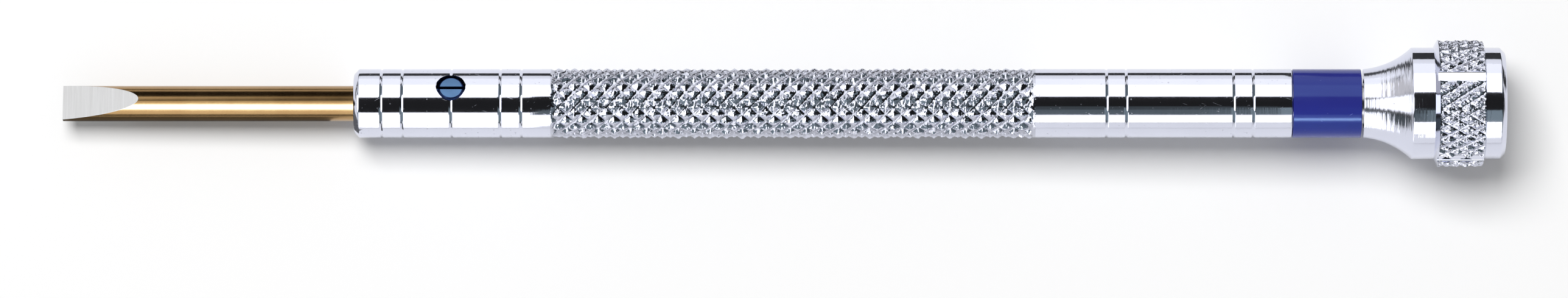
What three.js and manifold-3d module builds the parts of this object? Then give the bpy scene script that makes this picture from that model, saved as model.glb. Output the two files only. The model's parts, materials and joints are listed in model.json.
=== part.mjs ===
// A watchmaker's screwdriver with a clamped round blade and a head that swivels on a miniature bearing.
// Millimetres. The tool's axis is X, with the blade's tip at the origin and the head towards +X.

import * as THREE from 'three';
import { mergeVertices } from 'three/addons/utils/BufferGeometryUtils.js';
import Module from 'manifold-3d';

const wasm = await Module();
wasm.setup();

// ---------------------------------------------------------------- driving dimensions

const degree = Math.PI / 180;
const quarterTurn = Math.PI / 2;
const roundSides = 36; // facets round the tool's axis
const smallSides = 24; // facets round the clamp screw and the flutes' cutter
const ballSides = 16; // facets round a ball or its pocket
const ballBands = 10;
const arcSteps = 6; // facets along a rounded stretch of an outline
const overcut = 1; // how far a cutter runs past what it cuts

// blade
const bladeDiameter = 2.5;
const bladeReach = 20.66; // from the barrel's front face to the tip
const bladeInserted = 12.3; // length held in the barrel
const bladeEndBevel = 0.25;
const tipThickness = 0.4;
const tipSlope = 11 * degree; // each ground flat against the axis
const tipTurn = 16 * degree; // the flats turned round the axis, from lying level

// barrel
const barrelDiameter = 4.88;
const barrelLength = 66.4; // front face to rear shoulder
const frontBevel = 0.36;
const rearBevel = 0.08;
const gripStart = 13.93; // from the front face
const gripLength = 34.2;
const knurlRise = 0.06; // the knurling's crests above the smooth barrel
const gripRunOut = 0.1;
const grooveWidth = 0.15;
const grooveDepth = 0.08;
const frontGroupCentre = 6.91; // from the front face
const frontGrooveOffsets = [-4.95, -3.47, 0, 3.47, 4.95];
const rearGroupCentre = 58.44; // from the front face
const rearGrooveOffsets = [-5.18, -3.79, 3.79, 5.18];
const drillPointSlope = 31 * degree; // the cone that a drill leaves at a bore's end
const boreMouthBevel = 0.12;

// clamp screw, on the middle groove of the front group
const screwDiameter = 1.96; // over the M2 thread's crests
const screwTurn = 30 * degree; // from straight up, towards +Y
const screwRecess = 0.25; // face below the barrel's surface
const screwBevel = 0.1;
const screwTipBevel = 0.15;
const slotWidth = 0.23;
const slotDepth = 0.3;
const screwHoleRim = 0.05; // countersink at the barrel's surface

// colour ring and the barrel's neck under it
const colourRingStep = 0.01; // below the barrel's surface
const colourRingLength = 4.85;
const colourRingBevel = 0.06;
const neckDiameter = 3.6;
const neckShortfall = 0.25; // neck's end short of the ring's end
const headGap = 0.15; // open gap between ring and head

// pivot screw and spacer
const pivotDiameter = 2.0;
const pivotDepth = 3.0; // thread in the barrel, ahead of the rear shoulder
const pivotHeadDiameter = 2.9;
const pivotHeadHeight = 0.8;
const pivotTipBevel = 0.2;
const pivotSlotWidth = 0.4;
const pivotSlotDepth = 0.35;
const spacerDiameter = 2.9;

// bearing, 2 x 5 x 2.3
const bearingDiameter = 5.0;
const bearingWidth = 2.3;
const bearingCentre = 5.25; // from the head's front edge
const ballDiameter = 0.8;
const ballCount = 7;
const pitchDiameter = 3.5; // circle through the balls' centres
const racewayClearance = 0.03;
const innerLandDiameter = 3.0;
const outerLandDiameter = 4.04;
const cageThickness = 0.38; // across the radius
const cageFrontReach = 0.12;
const cageRearReach = 0.72;
const pocketClearance = 0.05;
const shieldThickness = 0.12;
const shieldInset = 0.08; // below the outer ring's side face
const shieldSeatDiameter = 4.4;
const shieldBoreDiameter = 3.2;
const bearingBevel = 0.08;

// head
const throatDiameter = 3.5;
const flareStartSlope = 5 * degree;
const flareLength = 3.42;
const headDiameter = 7.9;
const ringDiameter = 9.0; // over the knurled ring's crests
const ringStart = 4.96; // from the head's front edge
const ringFrontBevelLength = 0.3;
const ringLength = 3.62;
const ringRearRadius = 0.41;
const headLength = 10.02;
const headRearBevel = 0.36;
const fluteCount = 4;
const fluteWidth = 0.8;
const fluteDepth = 0.22;
const fluteTurn = 26 * degree; // first flute from straight up, towards +Y

// end cap
const capDiameter = 5.8;
const capThickness = 1.3;
const capSkirtBoreDiameter = 4.2;
const dishRimWidth = 0.3;
const dishFloorDiameter = 3.4;
const dishDepth = 0.3;

// clearances
const slidingClearance = 0.02; // blade in its bore, on the radius
const threadClearance = 0.045; // clamp screw in its hole, on the radius
const fixedClearance = 0.015; // pressed or screwed pieces, on the radius
const seatGap = 0.02; // between faces that seat on each other
const boreEndGap = 0.3; // behind the blade

// ---------------------------------------------------------------- places that follow from them

const rearShoulder = bladeReach + barrelLength;
const colourRingRadius = barrelDiameter / 2 - colourRingStep; // the flare starts flush with it
const headStart = seatGap + colourRingLength + headGap; // from the rear shoulder
const neckLength = seatGap + colourRingLength - neckShortfall;
const bearingPlace = headStart + bearingCentre; // bearing's middle, from the rear shoulder
const bearingRear = bearingCentre + bearingWidth / 2; // from the head's front edge
const capFront = headLength - capThickness;

// ---------------------------------------------------------------- shape helpers

// Points are [distance along the axis, radius]. The solid is turned round X.
function turned(outline, sides = roundSides) {
  const points = outline.map(([along, radius]) => new THREE.Vector2(radius, along));
  return new THREE.LatheGeometry(points, sides).rotateZ(-quarterTurn);
}

// The same for a ring, whose outline closes on itself.
function turnedRing(outline, sides = roundSides) {
  return turned([...outline, outline[0]], sides);
}

// Points of an arc in an outline. Angles start at +X and turn towards a larger radius.
function arc(centre, centreRadius, radius, from, to, steps) {
  const points = [];
  for (let step = 0; step <= steps; step += 1) {
    const angle = from + ((to - from) * step) / steps;
    points.push([centre + radius * Math.cos(angle), centreRadius + radius * Math.sin(angle)]);
  }
  return points;
}

function solid(geometry) {
  const bare = geometry.clone();
  bare.deleteAttribute('normal');
  bare.deleteAttribute('uv');
  const merged = mergeVertices(bare);
  return new wasm.Manifold(new wasm.Mesh({
    numProp: 3,
    vertProperties: new Float32Array(merged.attributes.position.array),
    triVerts: new Uint32Array(merged.index.array),
  }));
}

function toGeometry(manifold) {
  const mesh = manifold.getMesh();
  const geometry = new THREE.BufferGeometry();
  geometry.setAttribute('position', new THREE.BufferAttribute(mesh.vertProperties, 3));
  geometry.setIndex(new THREE.BufferAttribute(mesh.triVerts, 1));
  geometry.computeVertexNormals();
  return geometry;
}

function cut(geometry, cutters) {
  const rest = cutters.reduce((body, cutter) => body.subtract(solid(cutter)), solid(geometry));
  return toGeometry(rest);
}

function piece(name, geometry, material) {
  const mesh = new THREE.Mesh(geometry, material.clone());
  mesh.name = name;
  return mesh;
}

function finish(color, roughness, metalness) {
  return new THREE.MeshStandardMaterial({ color, roughness, metalness });
}

const chrome = finish(0xd9dce2, 0.12, 1);
const temperedSteel = finish(0x6b4a26, 0.3, 1);
const bluedSteel = finish(0x5b7fa6, 0.3, 1);
const bluePlastic = finish(0x323f9a, 0.22, 0);
const steel = finish(0xb4b6b9, 0.3, 1);
const bearingSteel = finish(0xc4c7cb, 0.15, 1);
const cageSteel = finish(0xa88f5a, 0.35, 1);

// ---------------------------------------------------------------- blade

// A round bar, met by a long wedge that leaves the two ground flats.
function blade() {
  const radius = bladeDiameter / 2;
  const length = bladeReach + bladeInserted;
  const bar = turned([
    [0, 0],
    [0, radius],
    [length - bladeEndBevel, radius],
    [length, radius - bladeEndBevel],
    [length, 0],
  ]);
  const wedgeLength = length + overcut;
  const halfTip = tipThickness / 2;
  const halfEnd = halfTip + wedgeLength * Math.tan(tipSlope);
  const side = new THREE.Shape([
    new THREE.Vector2(0, -halfTip),
    new THREE.Vector2(wedgeLength, -halfEnd),
    new THREE.Vector2(wedgeLength, halfEnd),
    new THREE.Vector2(0, halfTip),
  ]);
  const wedge = new THREE.ExtrudeGeometry(side, { depth: 2 * bladeDiameter, bevelEnabled: false })
    .translate(0, 0, -bladeDiameter)
    .rotateX(quarterTurn - tipTurn);
  return toGeometry(solid(bar).intersect(solid(wedge)));
}

// ---------------------------------------------------------------- barrel

function grooves(centre, offsets) {
  const radius = barrelDiameter / 2;
  return offsets.flatMap((offset) => [
    [centre + offset - grooveWidth / 2, radius],
    [centre + offset, radius - grooveDepth],
    [centre + offset + grooveWidth / 2, radius],
  ]);
}

function screwHole() {
  const hole = screwDiameter / 2 + threadClearance;
  const surface = barrelDiameter / 2;
  return turned([
    [0, 0],
    [0, hole],
    [surface - screwHoleRim, hole],
    [surface + overcut, hole + screwHoleRim + overcut],
    [surface + overcut, 0],
  ], smallSides)
    .rotateY(-quarterTurn)
    .rotateX(-screwTurn)
    .translate(frontGroupCentre, 0, 0);
}

// From the blade's bore, round the outside and the neck, to the pivot screw's hole.
function barrel() {
  const radius = barrelDiameter / 2;
  const grip = radius + knurlRise;
  const bore = bladeDiameter / 2 + slidingClearance;
  const boreDepth = bladeInserted + boreEndGap;
  const neck = neckDiameter / 2;
  const pivot = pivotDiameter / 2 + fixedClearance;
  const pivotEnd = barrelLength - pivotDepth - boreEndGap;
  const body = turned([
    [boreDepth + bore * Math.tan(drillPointSlope), 0],
    [boreDepth, bore],
    [boreMouthBevel, bore],
    [0, bore + boreMouthBevel],
    [0, radius - frontBevel],
    [frontBevel, radius],
    ...grooves(frontGroupCentre, frontGrooveOffsets),
    [gripStart, radius],
    [gripStart + gripRunOut, grip],
    [gripStart + gripLength - gripRunOut, grip],
    [gripStart + gripLength, radius],
    ...grooves(rearGroupCentre, rearGrooveOffsets),
    [barrelLength - rearBevel, radius],
    [barrelLength, radius - rearBevel],
    [barrelLength, neck],
    [barrelLength + neckLength, neck],
    [barrelLength + neckLength, pivot],
    [pivotEnd, pivot],
    [pivotEnd - pivot * Math.tan(drillPointSlope), 0],
  ]);
  return cut(body, [screwHole()]);
}

// Its own axis is +Z, and its zero is the tool's axis.
function clampScrew() {
  const radius = screwDiameter / 2;
  const tip = bladeDiameter / 2 + 2 * slidingClearance;
  const face = barrelDiameter / 2 - screwRecess;
  const body = turned([
    [tip, 0],
    [tip, radius - screwTipBevel],
    [tip + screwTipBevel, radius],
    [face - screwBevel, radius],
    [face, radius - screwBevel],
    [face, 0],
  ], smallSides).rotateY(-quarterTurn);
  const slot = new THREE.BoxGeometry(2 * screwDiameter, slotWidth, 2 * slotDepth).translate(0, 0, face);
  return cut(body, [slot]);
}

// ---------------------------------------------------------------- colour ring and pivot

function colourRing() {
  const bore = neckDiameter / 2 + fixedClearance;
  return turnedRing([
    [0, bore],
    [0, colourRingRadius - colourRingBevel],
    [colourRingBevel, colourRingRadius],
    [colourRingLength - colourRingBevel, colourRingRadius],
    [colourRingLength, colourRingRadius - colourRingBevel],
    [colourRingLength, bore],
  ]);
}

// Zero is the barrel's rear shoulder.
function pivotScrew() {
  const radius = pivotDiameter / 2;
  const headFront = bearingPlace + bearingWidth / 2 + seatGap;
  const headRear = headFront + pivotHeadHeight;
  const body = turned([
    [-pivotDepth, 0],
    [-pivotDepth, radius - pivotTipBevel],
    [-pivotDepth + pivotTipBevel, radius],
    [headFront, radius],
    [headFront, pivotHeadDiameter / 2],
    [headRear, pivotHeadDiameter / 2],
    [headRear, 0],
  ]);
  const slot = new THREE.BoxGeometry(2 * pivotSlotDepth, 2 * pivotHeadDiameter, pivotSlotWidth)
    .translate(headRear, 0, 0);
  return cut(body, [slot]);
}

function spacerSleeve() {
  const bore = pivotDiameter / 2 + fixedClearance;
  const radius = spacerDiameter / 2;
  const front = neckLength + seatGap;
  const rear = bearingPlace - bearingWidth / 2 - seatGap;
  return turnedRing([[front, bore], [front, radius], [rear, radius], [rear, bore]]);
}

// ---------------------------------------------------------------- bearing, about its own middle

const racewayRadius = ballDiameter / 2 + racewayClearance;
const ballCircle = pitchDiameter / 2;

function racewayHalfAngle(land) {
  return Math.acos(Math.abs(land - ballCircle) / racewayRadius);
}

function innerRing() {
  const bore = pivotDiameter / 2 + fixedClearance;
  const land = innerLandDiameter / 2;
  const half = bearingWidth / 2;
  const swing = racewayHalfAngle(land);
  return turnedRing([
    [-half, bore],
    [-half, land - bearingBevel],
    [-half + bearingBevel, land],
    ...arc(0, ballCircle, racewayRadius, -quarterTurn - swing, -quarterTurn + swing, arcSteps),
    [half - bearingBevel, land],
    [half, land - bearingBevel],
    [half, bore],
  ]);
}

function outerRing() {
  const radius = bearingDiameter / 2;
  const land = outerLandDiameter / 2;
  const seat = shieldSeatDiameter / 2;
  const half = bearingWidth / 2;
  const seatEdge = half - shieldInset - shieldThickness - seatGap;
  const swing = racewayHalfAngle(land);
  return turnedRing([
    [-half, seat],
    [-half, radius - bearingBevel],
    [-half + bearingBevel, radius],
    [half - bearingBevel, radius],
    [half, radius - bearingBevel],
    [half, seat],
    [seatEdge, seat],
    [seatEdge, land],
    ...arc(0, ballCircle, racewayRadius, quarterTurn - swing, quarterTurn + swing, arcSteps),
    [-seatEdge, land],
    [-seatEdge, seat],
  ]);
}

// A crown: a ring with round pockets, open towards the front.
function cage() {
  const inner = ballCircle - cageThickness / 2;
  const outer = ballCircle + cageThickness / 2;
  const ring = turnedRing([
    [-cageFrontReach, inner],
    [-cageFrontReach, outer],
    [cageRearReach, outer],
    [cageRearReach, inner],
  ]);
  const pocket = ballDiameter / 2 + pocketClearance;
  const pockets = ballAngles().map((angle) => (
    new THREE.CylinderGeometry(pocket, pocket, 2 * cageThickness, ballSides)
      .translate(0, ballCircle, 0)
      .rotateX(angle)
  ));
  return cut(ring, pockets);
}

function ballAngles() {
  return Array.from({ length: ballCount }, (_, index) => (index * 2 * Math.PI) / ballCount);
}

function shield(side) {
  const bore = shieldBoreDiameter / 2;
  const radius = shieldSeatDiameter / 2 - fixedClearance;
  const outside = bearingWidth / 2 - shieldInset;
  const inside = outside - shieldThickness;
  const [front, rear] = side < 0 ? [-outside, -inside] : [inside, outside];
  return turnedRing([[front, bore], [front, radius], [rear, radius], [rear, bore]]);
}

function ball(angle, index) {
  const sphere = new THREE.SphereGeometry(ballDiameter / 2, ballSides, ballBands);
  const mesh = piece(`bearing_ball_${index + 1}`, sphere, bearingSteel);
  mesh.position.set(0, ballCircle * Math.cos(angle), ballCircle * Math.sin(angle));
  return mesh;
}

// ---------------------------------------------------------------- head, from its front edge

// A hollow curve that leaves the throat at flareStartSlope and reaches the head's full diameter.
function flare() {
  const rise = headDiameter / 2 - colourRingRadius;
  const chordSlope = Math.atan2(rise, flareLength);
  const turn = 2 * (chordSlope - flareStartSlope);
  const radius = Math.hypot(rise, flareLength) / (2 * Math.sin(turn / 2));
  const centre = -radius * Math.sin(flareStartSlope);
  const centreRadius = colourRingRadius + radius * Math.cos(flareStartSlope);
  const from = -quarterTurn + flareStartSlope;
  return arc(centre, centreRadius, radius, from, from + turn, arcSteps);
}

function flutes() {
  const ring = ringDiameter / 2;
  const halfWidth = fluteWidth / 2;
  const cutter = (halfWidth ** 2 + fluteDepth ** 2) / (2 * fluteDepth);
  const length = ringLength + 2 * overcut;
  return Array.from({ length: fluteCount }, (_, index) => (
    new THREE.CylinderGeometry(cutter, cutter, length, smallSides)
      .rotateZ(-quarterTurn)
      .translate(ringStart + ringLength / 2, 0, ring - fluteDepth + cutter)
      .rotateX(-fluteTurn - (index * 2 * Math.PI) / fluteCount)
  ));
}

function headShell() {
  const throat = throatDiameter / 2;
  const radius = headDiameter / 2;
  const ring = ringDiameter / 2;
  const ringEnd = ringStart + ringLength;
  const bearingSeat = bearingDiameter / 2 + fixedClearance;
  const bearingStop = bearingCentre - bearingWidth / 2 - seatGap;
  const capSeat = capDiameter / 2 + fixedClearance;
  const body = turnedRing([
    [0, throat],
    ...flare(),
    [ringStart, radius],
    [ringStart + ringFrontBevelLength, ring],
    ...arc(ringEnd - ringRearRadius, ring - ringRearRadius, ringRearRadius, quarterTurn, 0, arcSteps),
    [ringEnd, radius],
    [headLength - headRearBevel, radius],
    [headLength, radius - headRearBevel],
    [headLength, capSeat],
    [capFront - seatGap, capSeat],
    [capFront - seatGap, bearingSeat],
    [bearingStop, bearingSeat],
    [bearingStop, throat],
  ]);
  return cut(body, flutes());
}

// A plug with a skirt that holds the bearing's outer ring, and a shallow dish for the fingertip.
function endCap() {
  const radius = capDiameter / 2;
  const skirt = bearingDiameter / 2;
  const skirtBore = capSkirtBoreDiameter / 2;
  const skirtFront = bearingRear + seatGap;
  return turned([
    [capFront, 0],
    [capFront, skirtBore],
    [skirtFront, skirtBore],
    [skirtFront, skirt],
    [capFront, skirt],
    [capFront, radius],
    [headLength, radius],
    ...dish(radius - dishRimWidth),
    [headLength - dishDepth, 0],
  ]);
}

// A smooth step down from the rim to the flat floor.
function dish(edge) {
  const floor = dishFloorDiameter / 2;
  return Array.from({ length: arcSteps + 1 }, (_, step) => {
    const share = step / arcSteps;
    const fall = (1 - Math.cos(share * Math.PI)) / 2;
    return [headLength - dishDepth * fall, edge + (floor - edge) * share];
  });
}

// ---------------------------------------------------------------- assembly

const screwSeat = new THREE.Group();
screwSeat.position.x = frontGroupCentre;
screwSeat.rotation.x = -screwTurn;
screwSeat.add(piece('clamp_screw', clampScrew(), bluedSteel));

const handle = new THREE.Group();
handle.position.x = bladeReach;
handle.add(piece('barrel', barrel(), chrome), screwSeat);

const ringMesh = piece('colour_ring', colourRing(), bluePlastic);
ringMesh.position.x = seatGap;

const bearing = new THREE.Group();
bearing.position.x = bearingPlace;
bearing.add(
  piece('bearing_inner_ring', innerRing(), bearingSteel),
  piece('bearing_outer_ring', outerRing(), bearingSteel),
  piece('bearing_cage', cage(), cageSteel),
  piece('bearing_shield_front', shield(-1), steel),
  piece('bearing_shield_rear', shield(1), steel),
  ...ballAngles().map(ball),
);

const head = new THREE.Group();
head.position.x = headStart;
head.add(piece('head_shell', headShell(), chrome), piece('head_end_cap', endCap(), chrome));

const rear = new THREE.Group();
rear.position.x = rearShoulder;
rear.add(
  ringMesh,
  piece('pivot_screw', pivotScrew(), steel),
  piece('spacer_sleeve', spacerSleeve(), steel),
  bearing,
  head,
);

const screwdriver = new THREE.Group();
screwdriver.add(piece('blade', blade(), temperedSteel), handle, rear);

export default screwdriver;
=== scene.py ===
"""A watchmaker's screwdriver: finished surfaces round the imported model, laid out as an add-on.

Everything is in metres. The tool's axis is X, with the blade's tip at the origin and the head towards +X.
"""

import itertools
import json
import math

import bpy
from bpy.props import FloatProperty, FloatVectorProperty, IntProperty, PointerProperty
from mathutils import Matrix, Vector, noise

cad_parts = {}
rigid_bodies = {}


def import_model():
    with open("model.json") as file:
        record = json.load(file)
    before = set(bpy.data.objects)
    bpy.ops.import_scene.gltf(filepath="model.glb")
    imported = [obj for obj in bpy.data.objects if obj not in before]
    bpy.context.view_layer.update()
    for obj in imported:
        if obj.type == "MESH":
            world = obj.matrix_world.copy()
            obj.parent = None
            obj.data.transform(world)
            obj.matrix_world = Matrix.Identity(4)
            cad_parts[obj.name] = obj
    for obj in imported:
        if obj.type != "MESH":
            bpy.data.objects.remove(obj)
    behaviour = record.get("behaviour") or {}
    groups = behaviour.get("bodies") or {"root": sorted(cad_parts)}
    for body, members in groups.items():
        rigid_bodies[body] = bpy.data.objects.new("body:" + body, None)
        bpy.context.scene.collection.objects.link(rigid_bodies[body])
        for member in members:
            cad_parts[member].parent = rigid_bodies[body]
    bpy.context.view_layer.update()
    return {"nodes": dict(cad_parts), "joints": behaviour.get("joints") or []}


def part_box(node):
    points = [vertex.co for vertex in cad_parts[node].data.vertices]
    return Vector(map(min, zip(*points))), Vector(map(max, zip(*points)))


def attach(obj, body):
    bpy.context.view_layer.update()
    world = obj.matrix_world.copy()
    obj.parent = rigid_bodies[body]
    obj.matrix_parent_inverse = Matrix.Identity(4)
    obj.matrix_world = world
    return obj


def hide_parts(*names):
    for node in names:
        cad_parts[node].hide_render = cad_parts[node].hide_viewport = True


bl_info = {
    "name": "Watchmaker's Screwdriver",
    "version": (1, 0, 0),
    "blender": (4, 5, 0),
    "location": "View3D > Sidebar > Screwdriver",
    "description": "Builds the finished pieces of a watchmaker's screwdriver round its packed model",
    "category": "Object",
}

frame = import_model()

MM = 0.001
TAU = 2 * math.pi
SEATED = 0.02 * MM  # gap between two faces that are seated on each other
PRESSED = 0.015 * MM  # gap round a pressed piece, on the radius
SPARE_BORE = 0.3 * MM  # from the end of a pin to the bottom of the bore that it stands in
DRILL_CONE = math.tan(math.radians(31))  # depth of a drilled hole's cone, as a share of its radius
SHARP_ANGLE = math.radians(28)  # faces that meet more steeply have a sharp edge between them
CARD_REACH = 0.36  # from the tool to the cards that it mirrors
FINISHED = {"FINISHED"}


# ------------------------------------------------------------------ sizes read from the frame

def reach(node):
    """Where a node starts and ends along the tool's axis, and its largest radius."""
    low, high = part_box(node)
    return low.x, high.x, max(high.y, high.z)


def joint(name):
    """The joint of this name, as the frame gives it."""
    return next(j for j in frame["joints"] if j["name"] == name)


TIP, BLADE_END, BLADE_RADIUS = reach("blade")
BARREL_FRONT, NECK_END, CREST_RADIUS = reach("barrel")
RING_START, RING_END, RING_RADIUS = reach("colour_ring")
HEAD_FRONT, HEAD_END, BAND_RADIUS = reach("head_shell")
CAP_FRONT, CAP_END, CAP_RADIUS = reach("head_end_cap")
SCREW_AXIS = Vector(joint("clamp_screw_turn")["axis"]).normalized()
SCREW_PLACE = Vector(joint("clamp_screw_turn")["pos_m"])
BEARING_PLACE = Vector(joint("head_spin")["pos_m"])


# ------------------------------------------------------------------ settings

def length(name, description, millimetres):
    """A setting in metres, given in millimetres."""
    return FloatProperty(
        name=name, description=description, default=millimetres * MM,
        unit="LENGTH", subtype="DISTANCE", precision=5,
    )


def share(name, description, default):
    """A setting from 0 to 1."""
    return FloatProperty(
        name=name, description=description, default=default, subtype="FACTOR", min=0, max=1
    )


def radiance(name, description, default):
    """A setting for the strength of a light."""
    return FloatProperty(name=name, description=description, default=default, min=0)


def angle(name, description, degrees):
    """A setting in radians, given in degrees."""
    return FloatProperty(
        name=name, description=description, default=math.radians(degrees),
        unit="ROTATION", subtype="ANGLE",
    )


def colour(name, description, default):
    """A setting for a colour, in linear red, green and blue."""
    return FloatVectorProperty(
        name=name, description=description, default=default, size=3, subtype="COLOR", min=0, max=1
    )


def number(name, description, default, least):
    """A setting for a whole number."""
    return IntProperty(name=name, description=description, default=default, min=least)


class BladeSettings(bpy.types.PropertyGroup):
    """Sizes and colours of the blade"""

    tip_thickness: length("Tip thickness", "Thickness of the square tip", 0.4)
    slope: angle("Flat slope", "Slope of each ground flat against the axis", 11)
    turn: angle("Flat turn", "Turn of the flats round the axis", 16)
    edge: length("Edge", "Width of the broken edge round the flats", 0.018)
    end_bevel: length("End bevel", "Bevel at the hidden end", 0.25)
    temper: colour("Temper", "Colour of the tempered bar", (0.47, 0.30, 0.125))
    temper_dark: colour("Temper, dark", "Darker tone of the tempering", (0.36, 0.21, 0.08))
    ground: colour("Ground steel", "Colour of the ground flats", (0.77, 0.76, 0.75))


class BarrelSettings(bpy.types.PropertyGroup):
    """Sizes and colour of the barrel"""

    diameter: length("Diameter", "Smooth barrel's diameter", 4.88)
    front_bevel: length("Front bevel", "Bevel at the front face", 0.36)
    rear_bevel: length("Rear bevel", "Bevel at the rear shoulder", 0.08)
    bore_clearance: length("Bore clearance", "Between blade and bore, on the radius", 0.02)
    mouth_bevel: length("Mouth bevel", "Bevel at the bore's mouth", 0.12)
    grip_start: length("Grip start", "From the front face to the knurling", 13.93)
    grip_length: length("Grip length", "Length of the knurling", 34.2)
    groove_width: length("Groove width", "Width of a ring groove", 0.2)
    groove_depth: length("Groove depth", "Depth of a ring groove", 0.08)
    front_group: length("Front grooves", "Middle of the front group, from the front face", 6.91)
    rear_group: length("Rear grooves", "Middle of the rear group, from the front face", 58.44)
    neck_diameter: length("Neck diameter", "Neck that carries the colour ring", 3.6)
    chrome: colour("Chrome", "Colour of the chrome plating", (0.71, 0.73, 0.845))


class KnurlSettings(bpy.types.PropertyGroup):
    """The diamonds of the grip and of the head's band"""

    pitch: length("Pitch", "Pitch of the grip's diamonds along the axis", 1.13)
    starts: number("Starts", "Grooves of each hand round the grip", 13, 4)
    depth: length("Depth", "Depth of the grip's grooves", 0.25)
    floor: share("Groove floor", "Flat floor of a groove, as a share of its half width", 0.12)
    crumble: share("Crumble", "Roughness of the rolled tops", 0.2)
    run_out: length("Run-out", "Length over which the grooves run out", 0.35)
    band_pitch: length("Band pitch", "Pitch of the head band's diamonds along the axis", 1.33)
    band_starts: number("Band starts", "Grooves of each hand round the band", 34, 4)
    band_depth: length("Band depth", "Depth of the band's grooves", 0.2)
    band_crumble: share("Band crumble", "Roughness of the band's tops", 0.44)


class ScrewSettings(bpy.types.PropertyGroup):
    """Sizes and colours of the clamp screw and its hole"""

    diameter: length("Diameter", "Diameter over the thread", 1.96)
    hole_diameter: length("Hole diameter", "Diameter of the hole above the thread", 2.05)
    pitch: length("Pitch", "Pitch of the thread", 0.4)
    thread_depth: length("Thread depth", "Depth of the thread", 0.14)
    bevel: length("Bevel", "Bevel round the face", 0.15)
    slot_width: length("Slot width", "Width of the driver slot", 0.23)
    slot_depth: length("Slot depth", "Depth of the driver slot", 0.3)
    collar: length("Collar", "Plain rim under the face, below the thread's crests", 0.03)
    point: length("Point", "Bevel at the end that holds the blade", 0.12)
    blued: colour("Blued steel", "Colour of the blued face", (0.072, 0.14, 0.26))
    navy: colour("Navy", "Darker tone of the blueing at edges", (0.02, 0.035, 0.10))


class ColourRingSettings(bpy.types.PropertyGroup):
    """Edge and colour of the ring that names the blade's size"""

    bevel: length("Bevel", "Rounded edge at each end", 0.06)
    plastic: colour("Plastic", "Colour of the ring, which names the blade size", (0.022, 0.026, 0.2))


class HeadSettings(bpy.types.PropertyGroup):
    """Sizes of the head's shell and its end cap"""

    throat_diameter: length("Throat", "Diameter of the opening at the front", 3.5)
    flare_length: length("Flare length", "Length of the flare", 3.42)
    flare_slope: angle("Flare slope", "Slope at which the flare starts", 5)
    diameter: length("Diameter", "Diameter of the smooth cylinders", 7.9)
    band_start: length("Band start", "From the front edge to the knurled band", 4.96)
    band_bevel: length("Band bevel", "Length of the band's front bevel", 0.3)
    band_length: length("Band length", "Length of the knurled band", 3.62)
    band_corner: length("Band corner", "Radius of the band's rear corner", 0.41)
    rear_bevel: length("Rear bevel", "Bevel at the rear edge", 0.36)
    flutes: number("Flutes", "Flutes that stop the tool from rolling", 4, 1)
    flute_width: length("Flute width", "Width of each flute", 0.8)
    flute_depth: length("Flute depth", "Depth of each flute", 0.24)
    flute_corner: length("Flute corner", "Rounding of each flute's lower corners", 0.1)
    flute_turn: angle("Flute turn", "First flute from straight up, towards +Y", 26)
    dish_rim: length("Dish rim", "Width of the rim round the fingertip dish", 0.3)
    dish_floor: length("Dish floor", "Diameter of the dish's flat floor", 3.4)
    dish_depth: length("Dish depth", "Depth of the dish", 0.3)
    cap_length: length("Cap length", "From the end cap's face to its shoulder", 1.3)
    skirt_bore: length("Skirt bore", "Inner radius of the skirt that presses on the bearing", 2.1)


class PivotSettings(bpy.types.PropertyGroup):
    """Sizes of the pivot screw, and the edges of the spacer sleeve"""

    diameter: length("Diameter", "Diameter of the pivot screw's shank", 2.0)
    head_length: length("Head length", "Length of the pivot screw's head", 0.8)
    pitch: length("Pitch", "Pitch of the thread", 0.4)
    thread_depth: length("Thread depth", "Depth of the thread", 0.1)
    thread_length: length("Threaded to", "From the barrel's front face to the thread's end", 66.4)
    bevel: length("Bevel", "Bevel at the screw's front end", 0.2)
    slot_width: length("Slot width", "Width of the driver slot", 0.4)
    slot_depth: length("Slot depth", "Depth of the driver slot", 0.35)
    lip: length("Edge", "Rounded edges of the screw's head and the sleeve", 0.05)


class BearingSettings(bpy.types.PropertyGroup):
    """Sizes and colours of the bearing and the other hidden pieces"""

    pitch_diameter: length("Pitch diameter", "Circle through the balls' centres", 3.5)
    ball_diameter: length("Ball diameter", "Diameter of a ball", 0.8)
    clearance: length("Clearance", "Between ball and raceway", 0.03)
    corner: length("Corner", "Rounded corners of the rings", 0.1)
    outer_land: length("Outer land", "Inner radius of the outer ring beside its raceway", 2.02)
    pocket_clearance: length("Pocket clearance", "Between ball and cage", 0.05)
    shield_bore: length("Shield bore", "Radius of the hole in a shield", 1.6)
    shield_lip: length("Shield lip", "Width of the turned-in lip at a shield's bore", 0.18)
    shield_turn_in: length("Shield turn-in", "How far the lip is turned in", 0.06)
    steel: colour("Bearing steel", "Colour of the ground rings and balls", (0.62, 0.63, 0.65))
    plain: colour("Turned steel", "Colour of the plain turned pieces", (0.5, 0.5, 0.52))
    cage: colour("Cage", "Colour of the cage", (0.5, 0.38, 0.2))


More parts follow.
